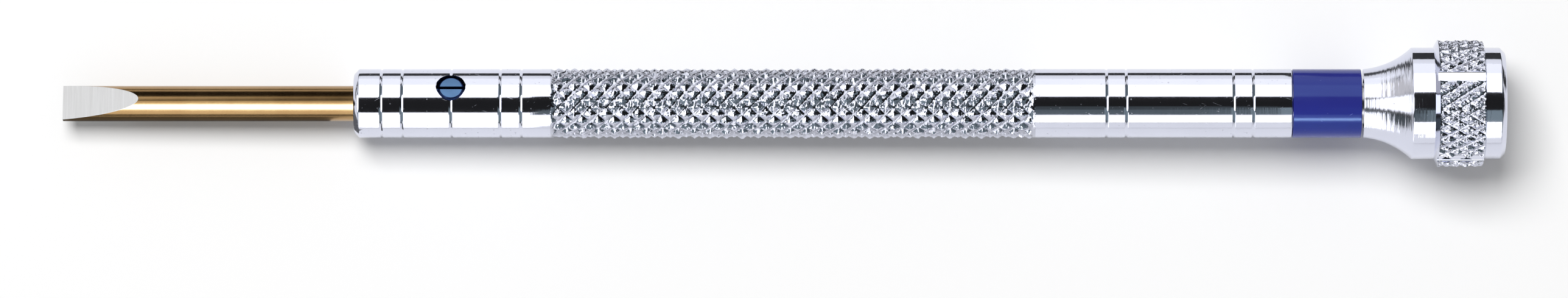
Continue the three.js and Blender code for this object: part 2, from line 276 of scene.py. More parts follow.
class StageSettings(bpy.types.PropertyGroup):
    """Camera, floor and room"""

    distance: length("Camera distance", "Height of the camera over the tool's axis", 700)
    seen_width: length("Seen width", "Width of the view at the tool's axis", 111.08)
    camera_x: length("Camera place", "Camera's place along the tool, from the tip", 58)
    view_x: length("View centre", "Centre of the view along the tool, from the tip", 51.1)
    view_y: length("View offset", "Centre of the view across the tool", -3.22)
    floor_size: length("Floor size", "Side of the square floor", 6000)
    floor: colour("Floor", "Colour of the floor", (0.92, 0.92, 0.92))
    floor_loss: share("Floor loss", "Share of the floor's light that the metal doesn't mirror", 0.04)
    key: radiance("Key", "Radiance of the light that casts the shadow", 11.4)
    key_size: length("Key size", "Side of the square light that casts the shadow", 500)
    key_angle: angle("Key angle", "Where the key light stands from straight up, towards +Y", 23)
    key_tilt: angle("Key tilt", "Where the key light stands from straight up, towards the tip", 12)
    fill: radiance("Fill", "Even light on the floor from all round", 0.33)
    mirrored: radiance("Mirrored room", "Dim room that the metal mirrors", 0.015)


SETTINGS = {
    "screwdriver_blade": BladeSettings,
    "screwdriver_barrel": BarrelSettings,
    "screwdriver_knurl": KnurlSettings,
    "screwdriver_screw": ScrewSettings,
    "screwdriver_ring": ColourRingSettings,
    "screwdriver_head": HeadSettings,
    "screwdriver_pivot": PivotSettings,
    "screwdriver_bearing": BearingSettings,
    "screwdriver_stage": StageSettings,
}


# ------------------------------------------------------------------ outlines

def rounded(corners, closed=False, steps=3):
    """An outline with rounded corners. A corner is (along, radius) or (along, radius, size of rounding)."""
    points = []
    count = len(corners)
    for index, corner in enumerate(corners):
        here = Vector(corner[:2])
        size = corner[2] if len(corner) > 2 else 0
        if not size or (not closed and index in (0, count - 1)):
            points.append(tuple(here))
            continue
        before = (Vector(corners[index - 1][:2]) - here).normalized() * size
        after = (Vector(corners[(index + 1) % count][:2]) - here).normalized() * size
        for step in range(steps + 1):
            t = step / steps
            points.append(tuple(here + before * (1 - t) ** 2 + after * t ** 2))
    return points


def arc(centre, radius, start, end, steps):
    """Points of an arc. Angles are in radians from +X towards a larger radius."""
    return [
        (centre[0] + radius * math.cos(a), centre[1] + radius * math.sin(a))
        for a in (start + (end - start) * step / steps for step in range(steps + 1))
    ]


def spaced(start, end, step):
    """Places from start to end, no further apart than step."""
    count = max(1, math.ceil(abs(end - start) / step - 1e-9))
    return [start + (end - start) * i / count for i in range(count + 1)]


# ------------------------------------------------------------------ turned meshes

BLOCK_FACES = [(0, 1, 3, 2), (4, 6, 7, 5), (0, 4, 5, 1), (2, 3, 7, 6), (1, 5, 7, 3), (0, 2, 6, 4)]


class Row:
    """One ring of a turned skin. radius is a number, or a function of the angle."""

    def __init__(self, along, radius, stagger=0, slot=0):
        self.along, self.radius, self.stagger, self.slot = along, radius, stagger, slot

    def points(self, count):
        """The row's vertices, of which there is one where it meets the axis."""
        if self.radius == 0:
            return [(self.along, 0.0, 0.0)]
        made = []
        for k in range(count):
            a = TAU * (k + self.stagger / 2) / count
            r = self.radius(a) if callable(self.radius) else self.radius
            made.append((self.along, r * math.cos(a), r * math.sin(a)))
        return made


def rows_of(outline, slot=0):
    """Rows for the points of an outline, all in one material slot."""
    return [Row(along, radius, slot=slot) for along, radius in outline]


def strip(low, high, low_count, high_count, lead):
    """Faces between two rings, from their first vertices. lead is how far the second ring is turned."""
    faces = []
    count = max(low_count, high_count)
    for k in range(count):
        k2 = (k + 1) % count
        if low_count == 1:
            faces.append((low, high + k2, high + k))
        elif high_count == 1:
            faces.append((low + k, low + k2, high))
        elif lead == 0:
            faces.append((low + k, low + k2, high + k2, high + k))
        elif lead > 0:
            faces.append((low + k, low + k2, high + k))
            faces.append((low + k2, high + k2, high + k))
        else:
            faces.append((low + k, low + k2, high + k2))
            faces.append((low + k, high + k2, high + k))
    return faces


def turned(name, rows, count, materials=(), closed=False, smooth=SHARP_ANGLE):
    """A skin turned round X through the rows. A closed one joins its last row to its first."""
    vertices, faces, slots, starts, sizes = [], [], [], [], []
    for row in rows:
        points = row.points(count)
        starts.append(len(vertices))
        sizes.append(len(points))
        vertices.extend(points)
    for i in range(len(rows) if closed else len(rows) - 1):
        j = (i + 1) % len(rows)
        new = strip(starts[i], starts[j], sizes[i], sizes[j], rows[j].stagger - rows[i].stagger)
        faces.extend(new)
        slots.extend([rows[i].slot] * len(new))
    mesh = bpy.data.meshes.new(name)
    mesh.from_pydata(vertices, [], faces)
    mesh.polygons.foreach_set("material_index", slots)
    return as_object(name, mesh, materials, smooth)


def block(name, corners, materials=(), slot=0):
    """A body with six faces. Its corners are listed by x, then by y, then by z."""
    mesh = bpy.data.meshes.new(name)
    mesh.from_pydata(corners, [], BLOCK_FACES)
    mesh.polygons.foreach_set("material_index", [slot] * len(BLOCK_FACES))
    return as_object(name, mesh, materials)


def box(name, low, high, materials=(), slot=0):
    """A block between two corners."""
    corners = list(itertools.product(*zip(low, high)))
    return block(name, corners, materials, slot)


def in_scene(name, data):
    """A new object of this data, in the scene."""
    made = bpy.data.objects.new(name, data)
    bpy.context.scene.collection.objects.link(made)
    return made


def as_object(name, mesh, materials=(), smooth=SHARP_ANGLE):
    """A shaded object of the mesh, with its materials."""
    for finish in materials:
        mesh.materials.append(finish)
    return shade(in_scene(name, mesh), smooth)


def shade(body, smooth=SHARP_ANGLE):
    """Smooth shading with sharp edges."""
    body.data.shade_smooth()
    body.data.set_sharp_from_angle(angle=smooth)
    return body


def carve(body, cutters, operation="DIFFERENCE", smooth=SHARP_ANGLE):
    """Cuts the body by each cutter, or keeps what they share, and removes the cutters."""
    for cutter in cutters:
        modifier = body.modifiers.new("cut", "BOOLEAN")
        modifier.operation, modifier.solver, modifier.object = operation, "MANIFOLD", cutter
    bake_modifiers(body)
    for cutter in cutters:
        bpy.data.objects.remove(cutter)
    return shade(body, smooth)


def bake_modifiers(body):
    """Applies the body's modifiers to its mesh."""
    bpy.context.view_layer.update()
    evaluated = body.evaluated_get(bpy.context.evaluated_depsgraph_get())
    mesh = bpy.data.meshes.new_from_object(evaluated)
    body.modifiers.clear()
    body.data = mesh


def place(piece, matrix):
    """Moves a piece's mesh, and leaves its origin where it is."""
    piece.data.transform(matrix)
    return piece


def install(piece, body, nodes):
    """Gives a piece its body, and hides the CAD nodes that it stands for."""
    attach(piece, body)
    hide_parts(*nodes)
    return piece


# ------------------------------------------------------------------ knurling and threads

TORN_LAYERS = ((2400, 1.0), (5600, 0.7), (11000, 0.4))  # grains per metre, and strength, of each layer


def wave(phase):
    """0 at whole numbers and 1 half-way between."""
    return 1 - abs(2 * (phase % 1.0) - 1)


def grain(spot, scale, seed):
    """Smooth noise at a spot. Each seed gives another part of the same pattern."""
    return noise.noise(Vector(spot) * scale + Vector((seed, 3.1 * seed, 7.7 * seed)))


def knurl_height(along, turn, pitch, starts, crumble, floor):
    """Height of a rolled diamond surface, from 0 in a groove to 1 on a sharp crest, with torn facets."""
    right = along / pitch + starts * turn / TAU
    left = along / pitch - starts * turn / TAU
    height = min(max(wave(right) - floor, 0) / (1 - floor), wave(left))
    around = starts * pitch / TAU
    spot = (along, around * math.cos(turn), around * math.sin(turn))
    torn = sum(strength * grain(spot, fine, seed) for seed, (fine, strength) in enumerate(TORN_LAYERS, 1))
    return height + crumble * torn * min(1.0, 3 * height)


def thread_ridge(along, turn, pitch):
    """Height of a thread, from 0 at its root to 1 at its crest."""
    return min(1.0, max(0.0, 1.6 * wave(along / pitch - turn / TAU) - 0.3))


def thread_fade(along, start, end, run_out):
    """1 along a thread, falling to 0 over its run-out at each end."""
    return max(0.0, min(1.0, (along - start) / run_out, (end - along) / run_out))


# ------------------------------------------------------------------ node helpers

def add(tree, kind, inputs=None, **settings):
    """A node with its settings. An input's value is a number, a colour or another node's output."""
    made = tree.nodes.new(kind)
    for key, value in settings.items():
        setattr(made, key, value)
    for key, value in (inputs or {}).items():
        socket = made.inputs[key]
        if isinstance(value, bpy.types.NodeSocket):
            tree.links.new(value, socket)
        else:
            socket.default_value = value
    return made


def rgba(value):
    """A colour with full opacity."""
    return (*value[:3], 1.0)


def shader_group(name, inputs, outputs):
    """An empty shader node group. Inputs are (name, kind, default)."""
    tree = bpy.data.node_groups.new(name, "ShaderNodeTree")
    for title, kind, default in inputs:
        socket = tree.interface.new_socket(title, in_out="INPUT", socket_type=f"NodeSocket{kind}")
        socket.default_value = default
    for title, kind in outputs:
        tree.interface.new_socket(title, in_out="OUTPUT", socket_type=f"NodeSocket{kind}")
    return tree, tree.nodes.new("NodeGroupInput"), tree.nodes.new("NodeGroupOutput")


def maths(tree, operation, first, second=0.0, clamp=False):
    """The result of one sum on two values."""
    inputs = {0: first, 1: second}
    return add(tree, "ShaderNodeMath", inputs, operation=operation, use_clamp=clamp).outputs[0]


def weighted(tree, first, second, part):
    """A sum in which the first value has this part, and the second has the rest."""
    return maths(tree, "ADD", maths(tree, "MULTIPLY", first, part), maths(tree, "MULTIPLY", second, 1 - part))


def object_place(tree):
    """Place on the object, in metres."""
    return add(tree, "ShaderNodeTexCoord").outputs["Object"]


def object_place_times(tree, factor):
    """Place on the object, times a factor that makes a pattern finer."""
    inputs = {0: object_place(tree), "Scale": factor}
    return add(tree, "ShaderNodeVectorMath", inputs, operation="SCALE").outputs[0]


def stretched_noise(tree, scale, detail, spot=None, roughness=0.5):
    """Noise with its own fineness along each axis."""
    mapping = add(tree, "ShaderNodeMapping", {"Vector": spot or object_place(tree), "Scale": scale})
    return add(
        tree, "ShaderNodeTexNoise",
        {"Vector": mapping.outputs[0], "Scale": 1.0, "Detail": detail, "Roughness": roughness},
    ).outputs["Fac"]


def turning_marks():
    """Fine rings left by the lathe, broken into short arcs: the height of the surface from 0 to 1."""
    name = "Turning Marks"
    if name in bpy.data.node_groups:
        return bpy.data.node_groups[name]
    tree, given, result = shader_group(
        name, [("Fineness", "Float", 1.0), ("Broken", "Float", 0.5)], [("Height", "Float")]
    )
    where = object_place_times(tree, given.outputs["Fineness"])
    along = add(tree, "ShaderNodeSeparateXYZ", {0: where}).outputs[0]

    def rings(fineness):
        inputs = {"W": along, "Scale": fineness, "Detail": 1.0}
        return add(tree, "ShaderNodeTexNoise", inputs, noise_dimensions="1D").outputs["Fac"]

    whole = weighted(tree, rings(14000.0), rings(4200.0), 0.3)
    arcs = stretched_noise(tree, (8000, 800, 800), 2, where)
    mixed = add(tree, "ShaderNodeMix", {0: given.outputs["Broken"], 2: whole, 3: arcs}, data_type="FLOAT")
    tree.links.new(mixed.outputs[0], result.inputs["Height"])
    return tree


def small_faults():
    """Pin-pricks, short scratches and cloudy patches of a used, plated surface, each from 0 to 1."""
    name = "Small Faults"
    if name in bpy.data.node_groups:
        return bpy.data.node_groups[name]
    tree, given, result = shader_group(
        name, [("Scale", "Float", 1.0), ("Amount", "Float", 0.5)],
        [("Specks", "Float"), ("Scratches", "Float"), ("Cloud", "Float")],
    )
    where = object_place_times(tree, given.outputs["Scale"])
    cells = add(tree, "ShaderNodeTexVoronoi", {"Vector": where, "Scale": 3400.0, "Randomness": 1.0})
    pick = add(tree, "ShaderNodeSeparateColor", {0: cells.outputs["Color"]})
    chosen = maths(tree, "LESS_THAN", pick.outputs[0], maths(tree, "MULTIPLY", given.outputs["Amount"], 0.3))
    size = between(tree, pick.outputs[1], 0.06, 0.2)
    specks = maths(tree, "MULTIPLY", chosen, maths(tree, "LESS_THAN", cells.outputs["Distance"], size))
    limit = maths(tree, "SUBTRACT", 0.83, maths(tree, "MULTIPLY", given.outputs["Amount"], 0.07))
    dashes = []
    for tilt, fineness in ((0.35, 11000.0), (-0.6, 14000.0)):
        inputs = {"Vector": where, "Axis": (0.3, 0.2, 1.0), "Angle": tilt}
        tilted = add(tree, "ShaderNodeVectorRotate", inputs)
        thin = stretched_noise(tree, (420.0, fineness, fineness), 1, tilted.outputs[0])
        dashes.append(maths(tree, "GREATER_THAN", thin, limit))
    patch = add(tree, "ShaderNodeTexNoise", {"Vector": where, "Scale": 420.0, "Detail": 2.0})
    tree.links.new(specks, result.inputs["Specks"])
    tree.links.new(maths(tree, "MAXIMUM", dashes[0], dashes[1]), result.inputs["Scratches"])
    tree.links.new(patch.outputs["Fac"], result.inputs["Cloud"])
    return tree


def use_group(tree, group, **inputs):
    """A node of the group, with values of its own for the inputs."""
    node = tree.nodes.new("ShaderNodeGroup")
    node.node_tree = group
    for key, value in inputs.items():
        node.inputs[key].default_value = value
    return node


def new_material(name, metallic, **constants):
    """A material with a Principled BSDF. Constants are set on the shader's own sockets."""
    made = bpy.data.materials.new(name)
    made.use_nodes = True
    tree = made.node_tree
    shader = next(n for n in tree.nodes if n.type == "BSDF_PRINCIPLED")
    shader.inputs["Metallic"].default_value = metallic
    for key, value in constants.items():
        shader.inputs[key.replace("_", " ")].default_value = value
    return made, tree, shader


def mix_colour(tree, factor, first, second):
    """Goes from the first colour to the second as the factor goes from 0 to 1."""
    node = tree.nodes.new("ShaderNodeMix")
    node.data_type = "RGBA"
    for index, value in ((0, factor), (6, first), (7, second)):
        if isinstance(value, bpy.types.NodeSocket):
            tree.links.new(value, node.inputs[index])
        else:
            node.inputs[index].default_value = value if index == 0 else rgba(value)
    return node.outputs[2]


def scaled(value, factor):
    """A lighter or darker tone of a colour."""
    return tuple(min(1.0, channel * factor) for channel in value)


def between(tree, factor, low, high):
    """Goes from low to high as the factor goes from 0 to 1."""
    return add(tree, "ShaderNodeMapRange", {"Value": factor, "To Min": low, "To Max": high}).outputs[0]


def bump(tree, shader, *layers):
    """Each layer is a height from 0 to 1 and its depth in metres."""
    below = None
    for height, distance in layers:
        inputs = {"Strength": 1.0, "Distance": distance, "Height": height}
        if below:
            inputs["Normal"] = below
        below = add(tree, "ShaderNodeBump", inputs).outputs[0]
    tree.links.new(below, shader.inputs["Normal"])


# ------------------------------------------------------------------ materials

RUBBED_PLASTIC = (0.2, 0.24, 0.55)  # the pale blue of a scratch in the ring


def chrome(name, base, roughness, marks, broken, faults):
    """Plated metal: lathe marks of a given depth in metres, with pin-pricks and scratches."""
    made, tree, shader = new_material(name, 1.0)
    rings = use_group(tree, turning_marks(), Fineness=1.0, Broken=broken)
    spots = use_group(tree, small_faults(), Scale=1.0, Amount=faults)
    cloud = spots.outputs["Cloud"]
    tone = mix_colour(tree, cloud, scaled(base, 0.96), scaled(base, 1.04))
    tone = mix_colour(tree, spots.outputs["Specks"], tone, scaled(base, 0.75))
    tree.links.new(tone, shader.inputs["Base Color"])
    soft = between(tree, cloud, roughness * 0.8, roughness * 1.3)
    worn = maths(tree, "ADD", spots.outputs["Specks"], spots.outputs["Scratches"], clamp=True)
    tree.links.new(maths(tree, "ADD", soft, maths(tree, "MULTIPLY", worn, 0.2)), shader.inputs["Roughness"])
    sound = maths(tree, "SUBTRACT", 1.0, worn)
    bump(tree, shader, (rings.outputs["Height"], marks), (cloud, 4e-6), (sound, 1.2e-5))
    return made


def knurled_chrome(name, base, chipped):
    """The rolled diamonds: painted shade that darkens the groove floors, nearly plain chrome on the crests,
    and small torn facets.
    """
    made, tree, shader = new_material(name, 1.0)
    spots = use_group(tree, small_faults(), Scale=1.3, Amount=0.8)
    floor_shade_pointiness = add(tree, "ShaderNodeNewGeometry").outputs["Pointiness"]
    edge = add(tree, "ShaderNodeMapRange", {"Value": floor_shade_pointiness, "From Min": 0.41, "From Max": 0.54}).outputs[0]
    # painted shade: pointiness darkens the base colour in the hollow groove floors to 0.28 of the chrome,
    # against 0.9 on the crests
    tone = mix_colour(tree, edge, scaled(base, 0.28), scaled(base, 0.9))
    tree.links.new(tone, shader.inputs["Base Color"])
    tree.links.new(between(tree, spots.outputs["Cloud"], 0.04, 0.13), shader.inputs["Roughness"])
    where = object_place(tree)
    chips = add(tree, "ShaderNodeTexVoronoi", {"Vector": where, "Scale": 6500.0, "Randomness": 1.0})
    torn = stretched_noise(tree, (9000, 9000, 9000), 3, roughness=0.6)
    bump(tree, shader, (chips.outputs["Distance"], chipped), (torn, chipped / 2))
    return made


def tempered_steel(settings):
    """Ground bar drawn to straw and bronze, with fine marks round it."""
    made, tree, shader = new_material(
        "tempered_steel", 1.0, Coat_Weight=0.35, Coat_IOR=1.6, Coat_Roughness=0.2
    )
    band = stretched_noise(tree, (140, 60, 60), 3)
    patch = stretched_noise(tree, (900, 500, 500), 3)
    drift = weighted(tree, band, patch, 0.7)
    tone = mix_colour(tree, between(tree, drift, -0.6, 1.4), settings.temper_dark, settings.temper)
    tree.links.new(tone, shader.inputs["Base Color"])
    rings = use_group(tree, turning_marks(), Fineness=1.6, Broken=0.3)
    tree.links.new(between(tree, patch, 0.18, 0.25), shader.inputs["Roughness"])
    bump(tree, shader, (rings.outputs["Height"], 4e-7))
    return made


def ground_steel(settings):
    """Bare steel with the lines of the grinding wheel across the flats."""
    made, tree, shader = new_material("ground_steel", 1.0)
    lines = stretched_noise(tree, (26000, 420, 420), 3, roughness=0.7)
    broad = stretched_noise(tree, (5200, 240, 240), 2)
    both = weighted(tree, lines, broad, 0.6)
    dark, light = scaled(settings.ground, 0.84), scaled(settings.ground, 1.14)
    tone = mix_colour(tree, between(tree, both, -0.7, 1.7), dark, light)
    tree.links.new(tone, shader.inputs["Base Color"])
    tree.links.new(between(tree, both, 0.3, 0.48), shader.inputs["Roughness"])
    bump(tree, shader, (both, 1.6e-6))
    return made


def blued_steel(settings):
    """Heat-blued steel with faint straight brushing."""
    made, tree, shader = new_material("blued_steel", 1.0)
    brush = stretched_noise(tree, (500, 15000, 15000), 3)
    cloud = stretched_noise(tree, (1500, 1500, 1500), 2)
    dark, light = scaled(settings.blued, 0.85), scaled(settings.blued, 1.15)
    tone = mix_colour(tree, between(tree, cloud, 0.1, 0.9), dark, light)
    tree.links.new(tone, shader.inputs["Base Color"])
    tree.links.new(between(tree, brush, 0.16, 0.3), shader.inputs["Roughness"])
    bump(tree, shader, (brush, 8e-7))
    return made


def navy_steel(settings):
    """The deep blue of the bevel and thread."""
    made, tree, shader = new_material("navy_steel", 1.0)
    cloud = stretched_noise(tree, (2500, 2500, 2500), 3)
    tone = mix_colour(tree, cloud, scaled(settings.navy, 0.7), scaled(settings.navy, 1.5))
    tree.links.new(tone, shader.inputs["Base Color"])
    tree.links.new(between(tree, cloud, 0.2, 0.34), shader.inputs["Roughness"])
    bump(tree, shader, (cloud, 1e-6))
    return made


def glossy_plastic(settings):
    """Turned and polished plastic with a soft sheen of fine rubbing and a few short scratches."""
    made, tree, shader = new_material("blue_plastic", 0.0, IOR=1.45, Specular_Tint=(0.4, 0.65, 1.0, 1.0))
    spots = use_group(tree, small_faults(), Scale=0.8, Amount=0.6)
    rub = stretched_noise(tree, (9000, 600, 600), 2)
    dark, light = scaled(settings.plastic, 0.93), scaled(settings.plastic, 1.07)
    tone = mix_colour(tree, spots.outputs["Cloud"], dark, light)
    tone = mix_colour(tree, maths(tree, "MULTIPLY", spots.outputs["Scratches"], 0.5), tone, RUBBED_PLASTIC)
    tree.links.new(tone, shader.inputs["Base Color"])
    tree.links.new(between(tree, rub, 0.09, 0.17), shader.inputs["Roughness"])
    height = maths(tree, "SUBTRACT", maths(tree, "MULTIPLY", rub, 0.4), spots.outputs["Scratches"])
    bump(tree, shader, (height, 1.5e-6))
    return made


def plain_metal(name, base, roughness, marks):
    """Turned or ground steel of the hidden pieces."""
    made, tree, shader = new_material(name, 1.0)
    rings = use_group(tree, turning_marks(), Fineness=1.0, Broken=0.4)
    cloud = stretched_noise(tree, (1800, 1800, 1800), 3)
    tree.links.new(mix_colour(tree, cloud, scaled(base, 0.9), scaled(base, 1.1)), shader.inputs["Base Color"])
    tree.links.new(between(tree, cloud, roughness * 0.75, roughness * 1.3), shader.inputs["Roughness"])
    bump(tree, shader, (rings.outputs["Height"], marks))
    return made


def material(name, maker, **looks):
    """The named material, made once."""
    return bpy.data.materials.get(name) or maker(name, **looks)


def plated(name, **looks):
    """A chrome finish in the barrel's colour."""
    base = tuple(bpy.context.scene.screwdriver_barrel.chrome)
    return material(name, chrome, base=base, **looks)


def plated_knurl(name, chipped):
    """A knurled chrome finish in the barrel's colour. chipped is the depth of the torn facets."""
    base = tuple(bpy.context.scene.screwdriver_barrel.chrome)
    return material(name, knurled_chrome, base=base, chipped=chipped)


def polished():
    """The barrel's smooth parts."""
    return plated("polished_chrome", roughness=0.09, marks=3e-6, broken=0.6, faults=0.85)


def turned_finish():
    """The head's cylinders and its end cap."""
    return plated("turned_chrome", roughness=0.08, marks=1e-5, broken=0.6, faults=0.35)


def streaked():
    """The head's flare, with deeper marks round it."""
    return plated("streaked_chrome", roughness=0.15, marks=4.5e-5, broken=0.3, faults=0.3)


def knurled():
    """The barrel's grip."""
    return plated_knurl("knurled_chrome", 1.1e-5)


def rough_knurled():
    """The head's band."""
    return plated_knurl("rough_knurled_chrome", 2e-5)


def turned_steel():
    """The pivot screw, the spacer sleeve and the bearing's shields."""
    base = tuple(bpy.context.scene.screwdriver_bearing.plain)
    return material("turned_steel", plain_metal, base=base, roughness=0.26, marks=3e-6)


def bearing_steel():
    """The bearing's rings and balls."""
    base = tuple(bpy.context.scene.screwdriver_bearing.steel)
    return material("bearing_steel", plain_metal, base=base, roughness=0.12, marks=6e-7)


def cage_metal():
    """The bearing's cage."""
    base = tuple(bpy.context.scene.screwdriver_bearing.cage)
    return material("cage_metal", plain_metal, base=base, roughness=0.3, marks=2e-6)


# ------------------------------------------------------------------ operators: the pieces

class BuildBlade(bpy.types.Operator):
    """Round tempered bar with two ground flats and a square tip"""

    bl_idname = "screwdriver.build_blade"
    bl_label = "Blade"

    sides = 160
    edge_angle = math.radians(9)  # edges sharper than this are broken
    flat_angle = math.radians(3)  # keeps the flats' shading apart from the bar's

    def execute(self, context):
        settings = context.scene.screwdriver_blade
        bevel, corner = settings.end_bevel, 0.06 * MM
        ends = rounded([
            (TIP, 0), (TIP, BLADE_RADIUS), (BLADE_END - bevel, BLADE_RADIUS, corner),
            (BLADE_END, BLADE_RADIUS - bevel, 2 * corner / 3), (BLADE_END, 0),
        ])
        materials = (tempered_steel(settings), ground_steel(settings))
        rows = rows_of(ends[:1], slot=1) + rows_of(ends[1:])
        body = turned("blade_bar", rows, self.sides, materials)
        carve(body, [self.wedge(settings, materials)], "INTERSECT")
        modifier = body.modifiers.new("edge", "BEVEL")
        modifier.width, modifier.segments, modifier.material = settings.edge, 2, 1
        modifier.limit_method, modifier.angle_limit = "ANGLE", self.edge_angle
        bake_modifiers(body)
        shade(body, self.flat_angle)
        install(body, "blade", ["blade"])
        return FINISHED

    def wedge(self, settings, materials):
        """A long wedge whose two sloping faces leave the ground flats."""
        run = BLADE_END - TIP + MM
        tip = settings.tip_thickness / 2
        end = tip + run * math.tan(settings.slope)
        wide = 3 * BLADE_RADIUS
        corners = []
        for x, half in ((TIP, tip), (TIP + run, end)):
            corners += [(x, y, z) for y in (-wide, wide) for z in (-half, half)]
        return place(block("wedge", corners, materials, slot=1), Matrix.Rotation(-settings.turn, 4, "X"))


class BuildBarrel(bpy.types.Operator):
    """Chromed handle with its grooves, knurled grip, blade bore, screw hole and rear neck"""

    bl_idname = "screwdriver.build_barrel"
    bl_label = "Barrel"

    front_offsets = (-4.95, -3.47, 0, 3.47, 4.95)  # grooves from the middle of their group, in millimetres
    rear_offsets = (-5.18, -3.79, 3.79, 5.18)
    cells = 10  # vertices along one side of a diamond
    hole_sides = 96

    def execute(self, context):
        self.settings = context.scene.screwdriver_barrel
        self.knurl = context.scene.screwdriver_knurl
        count = self.cells * self.knurl.starts
        rows = self.front() + self.grip() + self.rear()
        body = turned("barrel_turned", rows, count, (polished(), knurled()))
        carve(body, [self.screw_hole(context)])
        install(body, "handle", ["barrel"])
        return FINISHED

    def groove(self, centre):
        """Outline of a ring groove, with a little of the smooth barrel at each side."""
        radius = self.settings.diameter / 2
        half, depth = self.settings.groove_width / 2, self.settings.groove_depth
        lip = 0.02 * MM
        return rounded([
            (centre - 2 * half, radius), (centre - half, radius, lip), (centre, radius - depth, lip),
            (centre + half, radius, lip), (centre + 2 * half, radius),
        ], steps=2)

    def front(self):
        """The blade's bore, the front face and the smooth front with its grooves."""
        s = self.settings
        radius, bore = s.diameter / 2, BLADE_RADIUS + s.bore_clearance
        bottom = BLADE_END + SPARE_BORE
        lip, mouth_lip = 0.05 * MM, 0.03 * MM
        face = rounded([
            (bottom + bore * DRILL_CONE, 0), (bottom, bore),
            (BARREL_FRONT + s.mouth_bevel, bore, mouth_lip), (BARREL_FRONT, bore + s.mouth_bevel, mouth_lip),
            (BARREL_FRONT, radius - s.front_bevel, lip), (BARREL_FRONT + s.front_bevel, radius, lip),
            (BARREL_FRONT + 2 * s.front_bevel, radius),
        ], steps=2)
        group = BARREL_FRONT + s.front_group
        skin = [point for offset in self.front_offsets for point in self.groove(group + offset * MM)]
        beside_hole, step = 1.3 * MM, 0.2 * MM
        near_hole = spaced(group - beside_hole, group + beside_hole, step)
        skin += [(x, radius) for x in near_hole if abs(x - group) > s.groove_width]
        return rows_of(face + sorted(skin, key=lambda point: point[0]))

    def grip(self):
        """The knurled grip, whose grooves run out at both ends."""
        s, k = self.settings, self.knurl
        start = BARREL_FRONT + s.grip_start
        radius = s.diameter / 2
        step = k.pitch / (2 * self.cells)
        count = round(s.grip_length / step)
        rows = []
        for i in range(count + 1):
            along = i * step
            inset = min(along, (count - i) * step)
            run = min(1.0, inset / k.run_out)
            run = run * run * (3 - 2 * run)

            def surface(turn, along=along, run=run):
                height = knurl_height(along, turn, k.pitch, k.starts, k.crumble, k.floor)
                knurled_radius = CREST_RADIUS - k.depth * (1 - min(height, 1.0))
                return radius + (knurled_radius - radius) * run

            rows.append(Row(start + along, surface, stagger=i % 2, slot=1))
        return rows

    def rear(self):
        """The smooth rear with its grooves, the neck and the pivot screw's hole."""
        s = self.settings
        radius, neck = s.diameter / 2, s.neck_diameter / 2
        shoulder = RING_START - SEATED
        hole = pivot_bore()
        bottom = reach("pivot_screw")[0] - SPARE_BORE
        smooth = MM  # left before the shoulder
        shoulder_lip, lip = 0.03 * MM, 0.05 * MM
        outline = [(BARREL_FRONT + s.grip_start + s.grip_length + 0.1 * MM, radius)]
        for offset in self.rear_offsets:
            outline += self.groove(BARREL_FRONT + s.rear_group + offset * MM)
        outline += rounded([
            (shoulder - smooth, radius), (shoulder - s.rear_bevel, radius, shoulder_lip),
            (shoulder, radius - s.rear_bevel, shoulder_lip), (shoulder, neck), (NECK_END, neck, lip),
            (NECK_END, hole, lip), (bottom, hole), (bottom - hole * DRILL_CONE, 0),
        ], steps=2)
        return rows_of(outline)

    def screw_hole(self, context):
        """The clamp screw's hole, with a bevelled mouth."""
        hole = context.scene.screwdriver_screw.hole_diameter / 2
        surface = self.settings.diameter / 2
        rim, above = 0.05 * MM, MM
        top = surface + above
        outline = [(0, 0), (0, hole), (surface - rim, hole), (top, hole + rim + above), (top, 0)]
        return place(turned("hole", rows_of(outline), self.hole_sides, (polished(),)), screw_matrix())


def pivot_bore():
    """Radius of the holes that the pivot screw stands in."""
    return bpy.context.scene.screwdriver_pivot.diameter / 2 + PRESSED


def screw_matrix():
    """Stands a piece made along +X on the clamp screw's axis, with its own Z along the tool."""
    along = Vector((1, 0, 0))
    turn = Matrix((SCREW_AXIS, along.cross(SCREW_AXIS), along)).transposed()
    return Matrix.Translation(SCREW_PLACE) @ turn.to_4x4()


class BuildScrew(bpy.types.Operator):
    """Blued grub screw with a thread, a bevelled face and a slot"""

    bl_idname = "screwdriver.build_screw"
    bl_label = "Clamp Screw"

    sides = 96
    rows_per_turn = 16
    face_angle = math.radians(9)  # keeps the bevel's shading apart from the face's

    def execute(self, context):
        s = context.scene.screwdriver_screw
        low, high = self.span()
        core = s.diameter / 2 - s.thread_depth
        rim = s.diameter / 2 - s.collar
        start, end = low + s.point, high - s.bevel - 0.04 * MM
        rows = rows_of([(low, 0), (low, core - s.point), (start, core)], slot=1)
        rows += [self.thread_row(x, start, end) for x in spaced(start, end, s.pitch / self.rows_per_turn)]
        lip = 0.01 * MM
        face = rounded([
            (end + lip / 10, core), (end + 2 * lip, rim, lip), (high - s.bevel, rim, 2 * lip),
            (high, rim - s.bevel, 3 * lip), (high, 0),
        ])
        rows += rows_of(face[:-2], slot=1) + rows_of(face[-2:])
        materials = (blued_steel(s), navy_steel(s))
        body = turned("clamp_screw_blued", rows, self.sides, materials)
        half, wide = s.slot_width / 2, 2 * s.diameter
        slot = box("slot", (high - s.slot_depth, -half, -wide), (high + MM, half, wide), materials, slot=1)
        carve(body, [slot], smooth=self.face_angle)
        place(body, screw_matrix())
        install(body, "clamp_screw", ["clamp_screw"])
        return FINISHED

    def thread_row(self, along, start, end):
        """A row of the thread, which runs out into its core at both ends."""
        s = bpy.context.scene.screwdriver_screw
        fade = thread_fade(along, start, end, 0.25 * s.pitch)

        def surface(turn):
            depth = s.thread_depth * thread_ridge(along - start, turn, s.pitch) * fade
            return s.diameter / 2 - s.thread_depth + depth

        return Row(along, surface, slot=1)

    def span(self):
        """The screw's lower and upper ends, measured along its own axis."""
        distances = [v.co.dot(SCREW_AXIS) for v in frame["nodes"]["clamp_screw"].data.vertices]
        return min(distances), max(distances)


